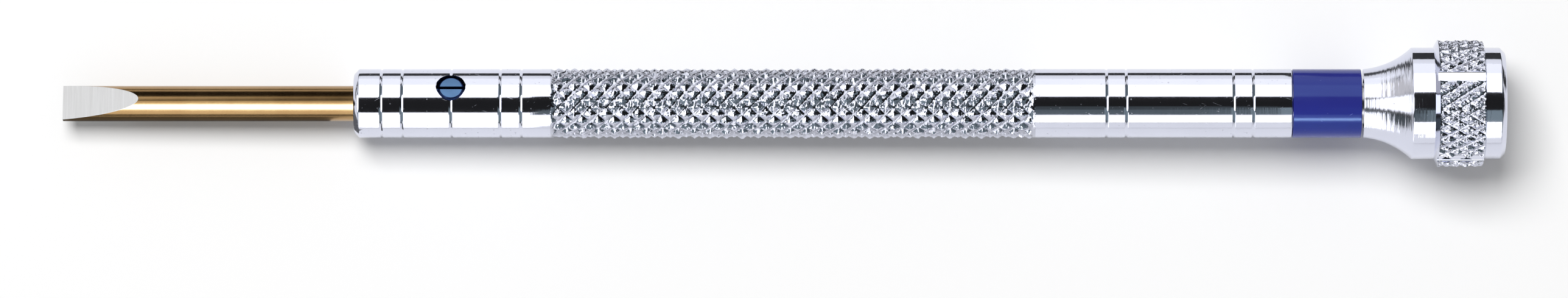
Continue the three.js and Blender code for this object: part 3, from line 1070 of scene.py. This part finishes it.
class BuildColourRing(bpy.types.Operator):
    """Glossy plastic sleeve on the barrel's neck"""

    bl_idname = "screwdriver.build_colour_ring"
    bl_label = "Colour Ring"

    sides = 160
    smooth = math.radians(40)

    def execute(self, context):
        s = context.scene.screwdriver_ring
        bore = context.scene.screwdriver_barrel.neck_diameter / 2 + PRESSED
        outline = rounded([
            (RING_START, bore, s.bevel), (RING_START, RING_RADIUS, s.bevel),
            (RING_END, RING_RADIUS, s.bevel), (RING_END, bore, s.bevel),
        ], closed=True, steps=5)
        rows, materials = rows_of(outline), (glossy_plastic(s),)
        body = turned("colour_ring_glossy", rows, self.sides, materials, closed=True, smooth=self.smooth)
        install(body, "handle", ["colour_ring"])
        return FINISHED


class BuildHead(bpy.types.Operator):
    """Swivelling head: flare, cylinders and a knurled band with flutes, and the dished end cap"""

    bl_idname = "screwdriver.build_head"
    bl_label = "Head"

    cells = 12  # vertices along one side of a diamond
    flare_steps = 40
    dish_steps = 16
    cap_sides = 128

    def execute(self, context):
        self.settings = context.scene.screwdriver_head
        self.knurl = context.scene.screwdriver_knurl
        self.build_shell()
        self.build_cap()
        return FINISHED

    def flare(self):
        """An arc from the colour ring's edge to the first cylinder."""
        s = self.settings
        rise = s.diameter / 2 - RING_RADIUS
        chord = math.atan2(rise, s.flare_length)
        turn = 2 * (chord - s.flare_slope)
        radius = math.hypot(rise, s.flare_length) / (2 * math.sin(turn / 2))
        across, out = math.sin(s.flare_slope), math.cos(s.flare_slope)
        centre = (HEAD_FRONT - radius * across, RING_RADIUS + radius * out)
        start = s.flare_slope - math.pi / 2
        return arc(centre, radius, start, start + turn, self.flare_steps)

    def band(self):
        """The knurled band, whose rear corner is rounded."""
        s, k = self.settings, self.knurl
        start = HEAD_FRONT + s.band_start + s.band_bevel
        end = HEAD_FRONT + s.band_start + s.band_length
        front_run_out, rear_run_out = 0.12 * MM, 0.3 * MM
        step = k.band_pitch / (2 * self.cells)
        count = math.floor((end - start) / step)
        rows = []
        for i in range(count):
            along = i * step
            left = end - start - along
            corner = max(0.0, s.band_corner - left)
            drop = s.band_corner - math.sqrt(max(s.band_corner ** 2 - corner ** 2, 0.0))
            run = min(1.0, (along + step) / front_run_out, left / rear_run_out)

            def surface(turn, along=along, drop=drop, run=run):
                height = knurl_height(along, turn, k.band_pitch, k.band_starts, k.band_crumble, k.floor)
                return BAND_RADIUS - drop - k.band_depth * (1 - min(height, 1.0)) * run

            rows.append(Row(start + along, surface, stagger=i % 2, slot=1))
        return rows

    def build_shell(self):
        """The head's shell, with its seats inside and its flutes."""
        count = self.cells * self.knurl.band_starts
        rows = self.front() + self.band() + self.rear()
        materials = (turned_finish(), rough_knurled(), streaked())
        body = turned("head_shell_turned", rows, count, materials, closed=True)
        carve(body, self.flute_cutters())
        install(body, "head", ["head_shell"])

    def front(self):
        """The throat's edge, the flare and the first cylinder, up to the band's front bevel."""
        s = self.settings
        flare = self.flare()
        lip, throat_lip = 0.03 * MM, 0.05 * MM
        band_start = HEAD_FRONT + s.band_start
        outline = rounded([
            (HEAD_FRONT, s.throat_diameter / 2), (HEAD_FRONT, flare[0][1], lip), *flare[2:-1],
            (*flare[-1], lip), (band_start, s.diameter / 2), (band_start + s.band_bevel, BAND_RADIUS),
        ])
        outline[0] = (HEAD_FRONT + throat_lip, s.throat_diameter / 2)
        foot = HEAD_FRONT + s.flare_length - lip
        return [Row(x, r, slot=2 if x < foot else 0) for x, r in outline]

    def rear(self):
        """The end cylinder, the seats of the end cap and of the bearing, and the throat."""
        s = self.settings
        radius, lip = s.diameter / 2, 0.05 * MM
        band_end = HEAD_FRONT + s.band_start + s.band_length
        bearing_front, _, bearing_radius = reach("bearing_outer_ring")
        seat, stop = bearing_radius + PRESSED, bearing_front - SEATED
        cap_seat, cap_stop = CAP_RADIUS + PRESSED, CAP_END - s.cap_length - SEATED
        band_foot = 0.02 * MM
        return rows_of(rounded([
            (band_end, radius + band_foot), (band_end, radius),
            (HEAD_END - s.rear_bevel, radius, lip), (HEAD_END, radius - s.rear_bevel, lip),
            (HEAD_END, cap_seat, lip), (cap_stop, cap_seat), (cap_stop, seat), (stop, seat),
            (stop, s.throat_diameter / 2),
        ]))

    def flute_cutters(self):
        """Blocks with rounded lower corners, one for each flute."""
        s = self.settings
        half, past = s.flute_width / 2, MM
        band_start = HEAD_FRONT + s.band_start
        low = (band_start - past, -half, BAND_RADIUS - s.flute_depth)
        high = (band_start + s.band_length + past, half, BAND_RADIUS + past)
        cutters = []
        for index in range(s.flutes):
            cutter = box("flute", low, high, (turned_finish(),))
            modifier = cutter.modifiers.new("corners", "BEVEL")
            modifier.width, modifier.segments = s.flute_corner, 4
            bake_modifiers(cutter)
            turn = -s.flute_turn - index * TAU / s.flutes
            cutters.append(place(cutter, Matrix.Rotation(turn, 4, "X")))
        return cutters

    def dish(self):
        """A smooth step down from the cap's rim to the dish's flat floor."""
        s = self.settings
        edge, floor = CAP_RADIUS - s.dish_rim, s.dish_floor / 2
        points = []
        for step in range(self.dish_steps + 1):
            t = step / self.dish_steps
            depth = s.dish_depth * (1 - math.cos(t * math.pi)) / 2
            points.append((CAP_END - depth, edge + (floor - edge) * t))
        return points

    def build_cap(self):
        """The end cap, with its skirt on the bearing and its dish."""
        s = self.settings
        _, _, skirt = reach("bearing_outer_ring")
        face = CAP_END - s.cap_length
        lip = 0.04 * MM
        outline = rounded([
            (face, 0), (face, s.skirt_bore), (CAP_FRONT, s.skirt_bore, lip), (CAP_FRONT, skirt, lip),
            (face, skirt), (face, CAP_RADIUS, lip), (CAP_END, CAP_RADIUS, lip), *self.dish(),
            (CAP_END - s.dish_depth, 0),
        ])
        body = turned("head_cap_dished", rows_of(outline), self.cap_sides, (turned_finish(),))
        install(body, "head", ["head_end_cap"])


class BuildPivot(bpy.types.Operator):
    """Pivot screw with its slotted head, and the spacer sleeve on it"""

    bl_idname = "screwdriver.build_pivot"
    bl_label = "Pivot Screw and Spacer"

    screw_sides = 72
    rows_per_turn = 10
    sleeve_sides = 96

    def execute(self, context):
        self.settings = context.scene.screwdriver_pivot
        self.build_screw()
        self.build_sleeve()
        return FINISHED

    def build_screw(self):
        """The slotted screw that the head turns on."""
        s = self.settings
        front, rear, head_radius = reach("pivot_screw")
        radius = s.diameter / 2
        head_front = rear - s.head_length
        thread_end = BARREL_FRONT + s.thread_length
        rows = rows_of([(front, 0), (front, radius - s.bevel)])
        places = spaced(front + s.bevel, thread_end, s.pitch / self.rows_per_turn)
        rows += [self.thread_row(x, front, thread_end) for x in places]
        rows += rows_of(rounded([
            (head_front - s.lip, radius), (head_front, radius), (head_front, head_radius, s.lip),
            (rear, head_radius, 2 * s.lip), (rear, 0),
        ]))
        body = turned("pivot_screw_threaded", rows, self.screw_sides, (turned_steel(),))
        half, wide = s.slot_width / 2, 2 * head_radius
        slot = box("slot", (rear - s.slot_depth, -wide, -half), (rear + MM, wide, half), (turned_steel(),))
        carve(body, [slot])
        install(body, "handle", ["pivot_screw"])

    def thread_row(self, along, start, end):
        """A row of the thread, which runs out into the plain shank at both ends."""
        s = self.settings
        fade = thread_fade(along, start, end, 0.5 * s.pitch)

        def surface(turn):
            return s.diameter / 2 - s.thread_depth * (1 - thread_ridge(along - start, turn, s.pitch)) * fade

        return Row(along, surface)

    def build_sleeve(self):
        """The sleeve that holds the bearing clear of the neck."""
        lip = self.settings.lip
        start, end, outer = reach("spacer_sleeve")
        bore = pivot_bore()
        rows = rows_of(rounded([
            (start, bore, lip), (start, outer, lip), (end, outer, lip), (end, bore, lip),
        ], closed=True))
        sleeve = turned("spacer_sleeve_turned", rows, self.sleeve_sides, (turned_steel(),), closed=True)
        install(sleeve, "handle", ["spacer_sleeve"])


class BuildBearing(bpy.types.Operator):
    """Ball bearing: two rings with raceways, the crown cage, the balls and two shields"""

    bl_idname = "screwdriver.build_bearing"
    bl_label = "Bearing"

    ring_sides = 128
    cage_sides = 168
    shield_sides = 96
    ball_sides = 48
    arc_steps = 24

    def execute(self, context):
        self.settings = context.scene.screwdriver_bearing
        self.circle = self.settings.pitch_diameter / 2
        self.race = self.settings.ball_diameter / 2 + self.settings.clearance
        self.middle = BEARING_PLACE.x
        self.build_rings()
        self.build_cage()
        self.build_balls()
        for side in ("front", "rear"):
            self.build_shield(side)
        return FINISHED

    def raceway(self, land, up):
        """The groove that the balls run in, in the upper or the lower ring of the section."""
        swing = math.acos(abs(land - self.circle) / self.race)
        middle = math.pi / 2 if up else -math.pi / 2
        return arc((self.middle, self.circle), self.race, middle - swing, middle + swing, self.arc_steps)

    def ring(self, name, outline):
        """A ground ring of the bearing."""
        rows, materials = rows_of(rounded(outline, closed=True, steps=5)), (bearing_steel(),)
        return turned(name, rows, self.ring_sides, materials, closed=True)

    def build_rings(self):
        """The inner ring on the pivot screw, and the outer ring in the head."""
        corner = self.settings.corner
        front, rear, land = reach("bearing_inner_ring")
        bore = pivot_bore()
        inner = self.ring("bearing_inner_ring_ground", [
            (front, bore, corner), (front, land, corner), *self.raceway(land, False),
            (rear, land, corner), (rear, bore, corner),
        ])
        install(inner, "handle", ["bearing_inner_ring"])

        front, rear, radius = reach("bearing_outer_ring")
        _, shield_end, shield_radius = reach("bearing_shield_front")
        shield_start, _, _ = reach("bearing_shield_rear")
        seat, land = shield_radius + PRESSED, self.settings.outer_land
        seat_front, seat_rear = shield_end + SEATED, shield_start - SEATED
        outer = self.ring("bearing_outer_ring_ground", [
            (front, seat, corner / 2), (front, radius, corner), (rear, radius, corner),
            (rear, seat, corner / 2), (seat_rear, seat), (seat_rear, land), *self.raceway(land, True),
            (seat_front, land), (seat_front, seat),
        ])
        install(outer, "head", ["bearing_outer_ring"])

    def ball_centres(self):
        """The name and centre of each ball."""
        names = sorted(name for name in frame["nodes"] if name.startswith("bearing_ball_"))
        for name in names:
            low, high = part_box(name)
            yield name, (low + high) / 2

    def build_cage(self):
        """The crown that keeps the balls apart."""
        front, rear, outer = reach("bearing_cage")
        inner = 2 * self.circle - outer
        lip = 0.04 * MM
        outline = rounded([
            (front, inner, lip), (front, outer, lip), (rear, outer, lip), (rear, inner, lip),
        ], closed=True)
        body = turned("bearing_cage_crown", rows_of(outline), self.cage_sides, (cage_metal(),), closed=True)
        carve(body, [self.pocket_cutter(centre) for _, centre in self.ball_centres()])
        install(body, "ball_set", ["bearing_cage"])

    def pocket_cutter(self, centre):
        """A rod that points outwards through a ball's centre."""
        pocket = self.settings.ball_diameter / 2 + self.settings.pocket_clearance
        reach_out = 2 * self.circle
        rows = rows_of([(0, 0), (0, pocket), (reach_out, pocket), (reach_out, 0)])
        rod = turned("pocket", rows, self.ball_sides, (cage_metal(),))
        outward = Vector((0, centre.y, centre.z))
        turn = Vector((1, 0, 0)).rotation_difference(outward).to_matrix().to_4x4()
        return place(rod, Matrix.Translation((self.middle, 0, 0)) @ turn)

    def build_balls(self):
        """The balls, each at its node's place."""
        radius = self.settings.ball_diameter / 2
        for name, centre in self.ball_centres():
            half_circle = arc((centre.x, 0), radius, math.pi, 0, self.arc_steps)
            outline = [(half_circle[0][0], 0), *half_circle[1:-1], (half_circle[-1][0], 0)]
            ball = turned(f"{name}_ground", rows_of(outline), self.ball_sides, (bearing_steel(),))
            place(ball, Matrix.Translation((0, centre.y, centre.z)))
            install(ball, "ball_set", [name])

    def build_shield(self, side):
        """A pressed washer with a turned-in lip at its bore."""
        s = self.settings
        node = f"bearing_shield_{side}"
        front, rear, radius = reach(node)
        round_edge = (rear - front) / 3
        fold = s.shield_bore + s.shield_lip
        front_in, rear_in = (0, s.shield_turn_in) if side == "front" else (-s.shield_turn_in, 0)
        outline = rounded([
            (front, radius, round_edge), (rear, radius, round_edge), (rear, fold),
            (rear + rear_in, s.shield_bore), (front + front_in, s.shield_bore), (front, fold),
        ], closed=True)
        rows, materials = rows_of(outline), (turned_steel(),)
        body = turned(f"{node}_pressed", rows, self.shield_sides, materials, closed=True)
        install(body, "head", [node])


# ------------------------------------------------------------------ operator: the stage

WHITE, TEAL, COOL = (1, 1, 1), (0.74, 0.94, 1.0), (0.7, 0.83, 1.0)
WARM, DEEP_BLUE = (1.0, 0.97, 0.93), (0.2, 0.5, 1.0)
KEY_AIM, KEY_REACH = 0.055, 1.0  # the key light's aim along the tool, and its distance from there
GRIP_AIM, FLARE_AIM, TIP_AIM, RING_AIM = 0.05, 0.094, 0.003, 0.0895  # aims of cards along the tool
CARD_LOW, CARD_MIDDLE, CARD_REAR, CARD_HIGH = -0.16, 0.045, 0.103, 0.26  # ends of the cards along the tool
FAR_SIDES = (("back", (24, 85), 0.17, 0.13), ("near", (-85, -24), 0.3, 0.22))


class BuildStage(bpy.types.Operator):
    """Pale floor, soft studio lights and the camera straight above the tool"""

    bl_idname = "screwdriver.build_stage"
    bl_label = "Stage"

    def execute(self, context):
        self.settings = context.scene.screwdriver_stage
        context.scene.view_settings.view_transform = "Standard"
        self.build_floor()
        self.build_world(context)
        self.build_lights()
        self.build_camera(context)
        return FINISHED

    def floor_line(self):
        """Where the floor touches the head's band, and its slope from the barrel's front edge to there."""
        barrel = bpy.context.scene.screwdriver_barrel
        front = (BARREL_FRONT + barrel.front_bevel, -barrel.diameter / 2)
        back = ((HEAD_FRONT + HEAD_END) / 2 + 2 * MM, -BAND_RADIUS)
        return back, math.atan2(back[1] - front[1], back[0] - front[0])

    def build_floor(self):
        """A plane that the head's band and the barrel's front edge both rest on."""
        back, slope = self.floor_line()
        half = self.settings.floor_size / 2
        corners = [(-half, -half, 0), (half, -half, 0), (half, half, 0), (-half, half, 0)]
        mesh = bpy.data.meshes.new("floor")
        mesh.from_pydata(corners, [], [(0, 1, 2, 3)])
        floor = in_scene("floor", mesh)
        floor.matrix_world = Matrix.Translation((back[0], 0, back[1])) @ Matrix.Rotation(-slope, 4, "Y")
        made, tree, shader = new_material("floor_paper", 0.0, Roughness=0.9, Specular_IOR_Level=0.0)
        cloud = stretched_noise(tree, (6, 6, 6), 3)
        tone = mix_colour(tree, cloud, scaled(self.settings.floor, 0.995), self.settings.floor)
        mirrored = add(tree, "ShaderNodeLightPath").outputs["Is Glossy Ray"]
        loss = maths(tree, "MULTIPLY", mirrored, self.settings.floor_loss)
        tone = mix_colour(tree, loss, tone, (0, 0, 0))
        tree.links.new(tone, shader.inputs["Base Color"])
        mesh.materials.append(made)

    def build_world(self, context):
        """White to the camera, soft fill for the floor, and dark where the metal would mirror it."""
        world = bpy.data.worlds.new("studio")
        context.scene.world = world
        world.use_nodes = True
        tree = world.node_tree
        tree.nodes.clear()
        kind = add(tree, "ShaderNodeLightPath")
        fill = maths(tree, "MULTIPLY", kind.outputs["Is Diffuse Ray"], self.settings.fill)
        mirror = maths(tree, "MULTIPLY", kind.outputs["Is Glossy Ray"], self.settings.mirrored)
        strength = maths(tree, "ADD", maths(tree, "ADD", fill, mirror), kind.outputs["Is Camera Ray"])
        background = add(tree, "ShaderNodeBackground", {"Color": (1, 1, 1, 1), "Strength": strength})
        output = add(tree, "ShaderNodeOutputWorld")
        tree.links.new(background.outputs[0], output.inputs[0])

    def lamp(self, name, spot, aim, size, power, tint, diffuse, receivers=None):
        """An area light that the camera doesn't see. It lights diffuse surfaces, or only gloss mirrors it."""
        light = bpy.data.lights.new(name, "AREA")
        light.shape = "RECTANGLE"
        light.size, light.size_y = size
        light.energy = power * math.pi * size[0] * size[1]
        light.color = tint
        lamp = in_scene(name, light)
        back = (Vector(spot) - Vector(aim)).normalized()
        side = Vector((0, 1, 0)).cross(back).normalized()
        lamp.location = spot
        lamp.rotation_mode = "QUATERNION"
        lamp.rotation_quaternion = Matrix((side, back.cross(side), back)).transposed().to_quaternion()
        lamp.visible_camera = False
        lamp.visible_diffuse = diffuse
        lamp.visible_glossy = not diffuse
        lamp.visible_transmission = False
        lamp.light_linking.receiver_collection = receivers

    def width_of(self, angles):
        """The size of a card that is seen from the tool between two angles in degrees."""
        return 2 * CARD_REACH * math.tan(math.radians(abs(angles[1] - angles[0])) / 2)

    def card(self, name, angles, along, power, tint, receivers):
        """A card that runs along the tool. Angles are degrees from straight up, towards +Y."""
        middle, centre = math.radians(sum(angles) / 2), sum(along) / 2
        spot = (centre, CARD_REACH * math.sin(middle), CARD_REACH * math.cos(middle))
        size = (along[1] - along[0], self.width_of(angles))
        self.lamp(name, spot, (centre, 0, 0), size, power, tint, False, receivers)

    def end_card(self, name, aim_x, angles, sides, power, tint, receivers):
        """A card beyond an end of the tool, at degrees from straight up towards +X, and aside towards +Y."""
        lean, side = math.radians(sum(angles) / 2), math.radians(sum(sides) / 2)
        level = math.cos(side)
        back = Vector((math.sin(lean) * level, math.sin(side), math.cos(lean) * level))
        size = (self.width_of(angles), self.width_of(sides))
        aim = Vector((aim_x, 0, 0))
        self.lamp(name, aim + back * CARD_REACH, aim, size, power, tint, False, receivers)

    def receivers(self, name, state, *pieces):
        """What a card lights: only these pieces, or all but these."""
        group = bpy.data.collections.new(name)
        for index, piece in enumerate(pieces):
            group.objects.link(bpy.data.objects[piece])
            group.collection_objects[index].light_linking.link_state = state
        return group

    def build_lights(self):
        """The key light, and the cards that each piece mirrors. Places along the tool are in metres."""
        self.key_light()
        others = self.receivers("all_but_blade", "EXCLUDE", "blade_bar")
        grip = self.receivers("barrel_only", "INCLUDE", "barrel_turned", "clamp_screw_blued")
        head = self.receivers("head_only", "INCLUDE", "head_shell_turned", "head_cap_dished")
        self.white_cards(others, head)
        self.teal_cards(others)
        self.far_cards(others, grip)
        self.flare_cards(head)
        self.ring_lights(self.receivers("ring_only", "INCLUDE", "colour_ring_glossy"))
        self.blade_cards(self.receivers("blade_only", "INCLUDE", "blade_bar"))
        self.build_flags()

    def key_light(self):
        """The light on the floor, which casts the tool's shadow towards -Y."""
        s = self.settings
        aim = Vector((KEY_AIM, 0, 0))
        back = Vector((-math.tan(s.key_tilt), math.tan(s.key_angle), 1)).normalized()
        self.lamp("key", aim + back * KEY_REACH, aim, (s.key_size, s.key_size), s.key, WHITE, True)

    def white_cards(self, others, head):
        """The broad pale bands along the tool."""
        self.card("back_high_front", (20, 64), (CARD_LOW, CARD_MIDDLE), 1.9, WHITE, others)
        self.card("back_high_rear", (23, 64), (CARD_MIDDLE, CARD_HIGH), 1.9, WHITE, others)
        self.card("back_low", (64, 90), (CARD_LOW, CARD_HIGH), 1.2, WHITE, others)
        self.card("near_front", (-31, -89), (CARD_LOW, CARD_MIDDLE), 1.9, WHITE, others)
        self.card("near_rear", (-39, -67), (CARD_MIDDLE, CARD_HIGH), 1.9, WHITE, others)
        self.card("near_head", (-66, -75), (CARD_REAR, CARD_HIGH), 1.9, WHITE, head)
        self.card("near_low", (-68, -90), (CARD_MIDDLE, CARD_HIGH), 0.9, WHITE, others)

    def teal_cards(self, others):
        """The dim, cool bands between the pale ones."""
        self.card("teal_barrel", (-10, -21), (CARD_MIDDLE, CARD_REAR), 0.055, TEAL, others)
        self.card("teal_barrel_edge", (-21, -38), (CARD_MIDDLE, CARD_REAR), 0.12, TEAL, others)
        self.card("teal_head", (-14, -38), (CARD_REAR, CARD_HIGH), 0.28, TEAL, others)

    def far_cards(self, others, grip):
        """What the slopes of the knurling and the grooves mirror."""
        self.end_card("end_white", GRIP_AIM, (-26, -86), (-19, 19), 2.6, WHITE, grip)
        front, rear = (-1.1, CARD_LOW), (CARD_HIGH, 1.2)
        for side, sides, front_power, rear_power in FAR_SIDES:
            self.card(f"grey_{side}_front", sides, front, front_power, TEAL, grip)
            self.card(f"grey_{side}_rear", sides, rear, rear_power, TEAL, others)

    def flare_cards(self, head):
        """What the flare mirrors, from the front, from both sides and from low down."""
        self.end_card("flare_white", FLARE_AIM, (-8, -85), (-16, 14), 1.7, WHITE, head)
        self.end_card("flare_back", FLARE_AIM, (-22, -85), (16, 48), 0.66, WARM, head)
        self.end_card("flare_near", FLARE_AIM, (-14, -80), (-42, -24), 0.065, TEAL, head)
        self.end_card("flare_low", FLARE_AIM, (-24, -85), (-70, -43), 0.68, WHITE, head)

    def ring_lights(self, ring):
        """Blue light that brings out the ring's colour, and the bright line along it."""
        spot, aim, size = (RING_AIM, -0.2, 0.03), (RING_AIM, 0, 0), (0.1, 0.1)
        self.lamp("ring_fill", spot, aim, size, 9.0, DEEP_BLUE, True, ring)
        self.card("ring_line", (-51, -60), (0.0, 0.2), 12.0, WHITE, ring)

    def blade_cards(self, blade):
        """The bright line along the bar, the softer bands beside it and the light on the ground flat."""
        along = (-0.12, 0.10)
        self.card("blade_strip", (-41, -7), along, 11.0, COOL, blade)
        self.card("blade_lower", (-77, -41), along, 1.35, WHITE, blade)
        self.card("blade_upper", (-7, 15), along, 1.2, WHITE, blade)
        self.end_card("blade_tip", TIP_AIM, (-10, -40), (12, 48), 1.45, WHITE, blade)

    def build_flags(self):
        """A dark strip on the far side, bent at the head, and a grey card on the blade's near side."""
        inner = ((-0.05, 0.0062), (0.088, 0.0095), (0.091, 0.0108), (0.16, 0.0108))
        outer = ((0.16, 0.030), (0.091, 0.030), (0.088, 0.0178), (-0.05, 0.0124))
        self.flag("dark_strip", 0.04, inner + outer)
        self.flag("grey_card", 0.13, ((-0.003, -0.03), (0.0188, -0.03), (0.0188, -0.0005), (-0.003, -0.0005)))

    def flag(self, name, grey, outline):
        """A darker card lying on the floor beside the tool, which only the metal mirrors."""
        back, slope = self.floor_line()
        above_floor = 0.15 * MM
        corners = []
        for x, y in outline:
            corners.append((x, y, back[1] + (x - back[0]) * math.tan(slope) + above_floor))
        mesh = bpy.data.meshes.new(name)
        mesh.from_pydata(corners, [], [tuple(range(len(corners)))])
        flag = in_scene(name, mesh)
        made, tree, shader = new_material(name, 0.0, Roughness=1.0, Specular_IOR_Level=0.0)
        cloud = stretched_noise(tree, (400, 400, 400), 2)
        tone = mix_colour(tree, cloud, (grey * 0.8,) * 3, (grey * 1.2,) * 3)
        tree.links.new(tone, shader.inputs["Base Color"])
        mesh.materials.append(made)
        for kind in ("camera", "diffuse", "shadow", "transmission", "volume_scatter"):
            setattr(flag, f"visible_{kind}", False)

    def build_camera(self, context):
        """A long lens over the tool, tilted a little along it."""
        s = self.settings
        camera = bpy.data.cameras.new("camera")
        camera.sensor_width = 36
        camera.lens = camera.sensor_width * s.distance / s.seen_width
        camera.clip_start, camera.clip_end = 0.05, 20
        seen = in_scene("camera", camera)
        seen.location = (s.camera_x, s.view_y, s.distance)
        tilt = math.atan((s.camera_x - s.view_x) / s.distance)
        seen.rotation_euler = (0, tilt, 0)
        context.scene.camera = seen


# ------------------------------------------------------------------ add-on

STEPS = (
    BuildBlade, BuildBarrel, BuildScrew, BuildColourRing,
    BuildHead, BuildPivot, BuildBearing, BuildStage,
)


class ScrewdriverPanel(bpy.types.Panel):
    """Lists the steps that build the screwdriver, with their sizes"""

    bl_idname = "VIEW3D_PT_screwdriver"
    bl_label = "Watchmaker's Screwdriver"
    bl_space_type = "VIEW_3D"
    bl_region_type = "UI"
    bl_category = "Screwdriver"

    def draw(self, context):
        """Buttons for the steps, then a box of settings for each."""
        for operator in STEPS:
            self.layout.operator(operator.bl_idname, text=operator.bl_label)
        for name in SETTINGS:
            box = self.layout.box()
            group = getattr(context.scene, name)
            for key in group.bl_rna.properties.keys():
                if key not in ("rna_type", "name"):
                    box.prop(group, key)


def register():
    """Registers the settings, the steps and the panel."""
    for group in SETTINGS.values():
        bpy.utils.register_class(group)
    for operator in STEPS:
        bpy.utils.register_class(operator)
    bpy.utils.register_class(ScrewdriverPanel)
    for name, group in SETTINGS.items():
        setattr(bpy.types.Scene, name, PointerProperty(type=group))


def unregister():
    """Undoes register."""
    for name in SETTINGS:
        delattr(bpy.types.Scene, name)
    bpy.utils.unregister_class(ScrewdriverPanel)
    for operator in reversed(STEPS):
        bpy.utils.unregister_class(operator)
    for group in reversed(list(SETTINGS.values())):
        bpy.utils.unregister_class(group)


def main():
    """Builds the screwdriver and its stage."""
    register()
    bpy.ops.screwdriver.build_blade()
    bpy.ops.screwdriver.build_barrel()
    bpy.ops.screwdriver.build_screw()
    bpy.ops.screwdriver.build_colour_ring()
    bpy.ops.screwdriver.build_head()
    bpy.ops.screwdriver.build_pivot()
    bpy.ops.screwdriver.build_bearing()
    bpy.ops.screwdriver.build_stage()


if __name__ == "__main__":
    main()
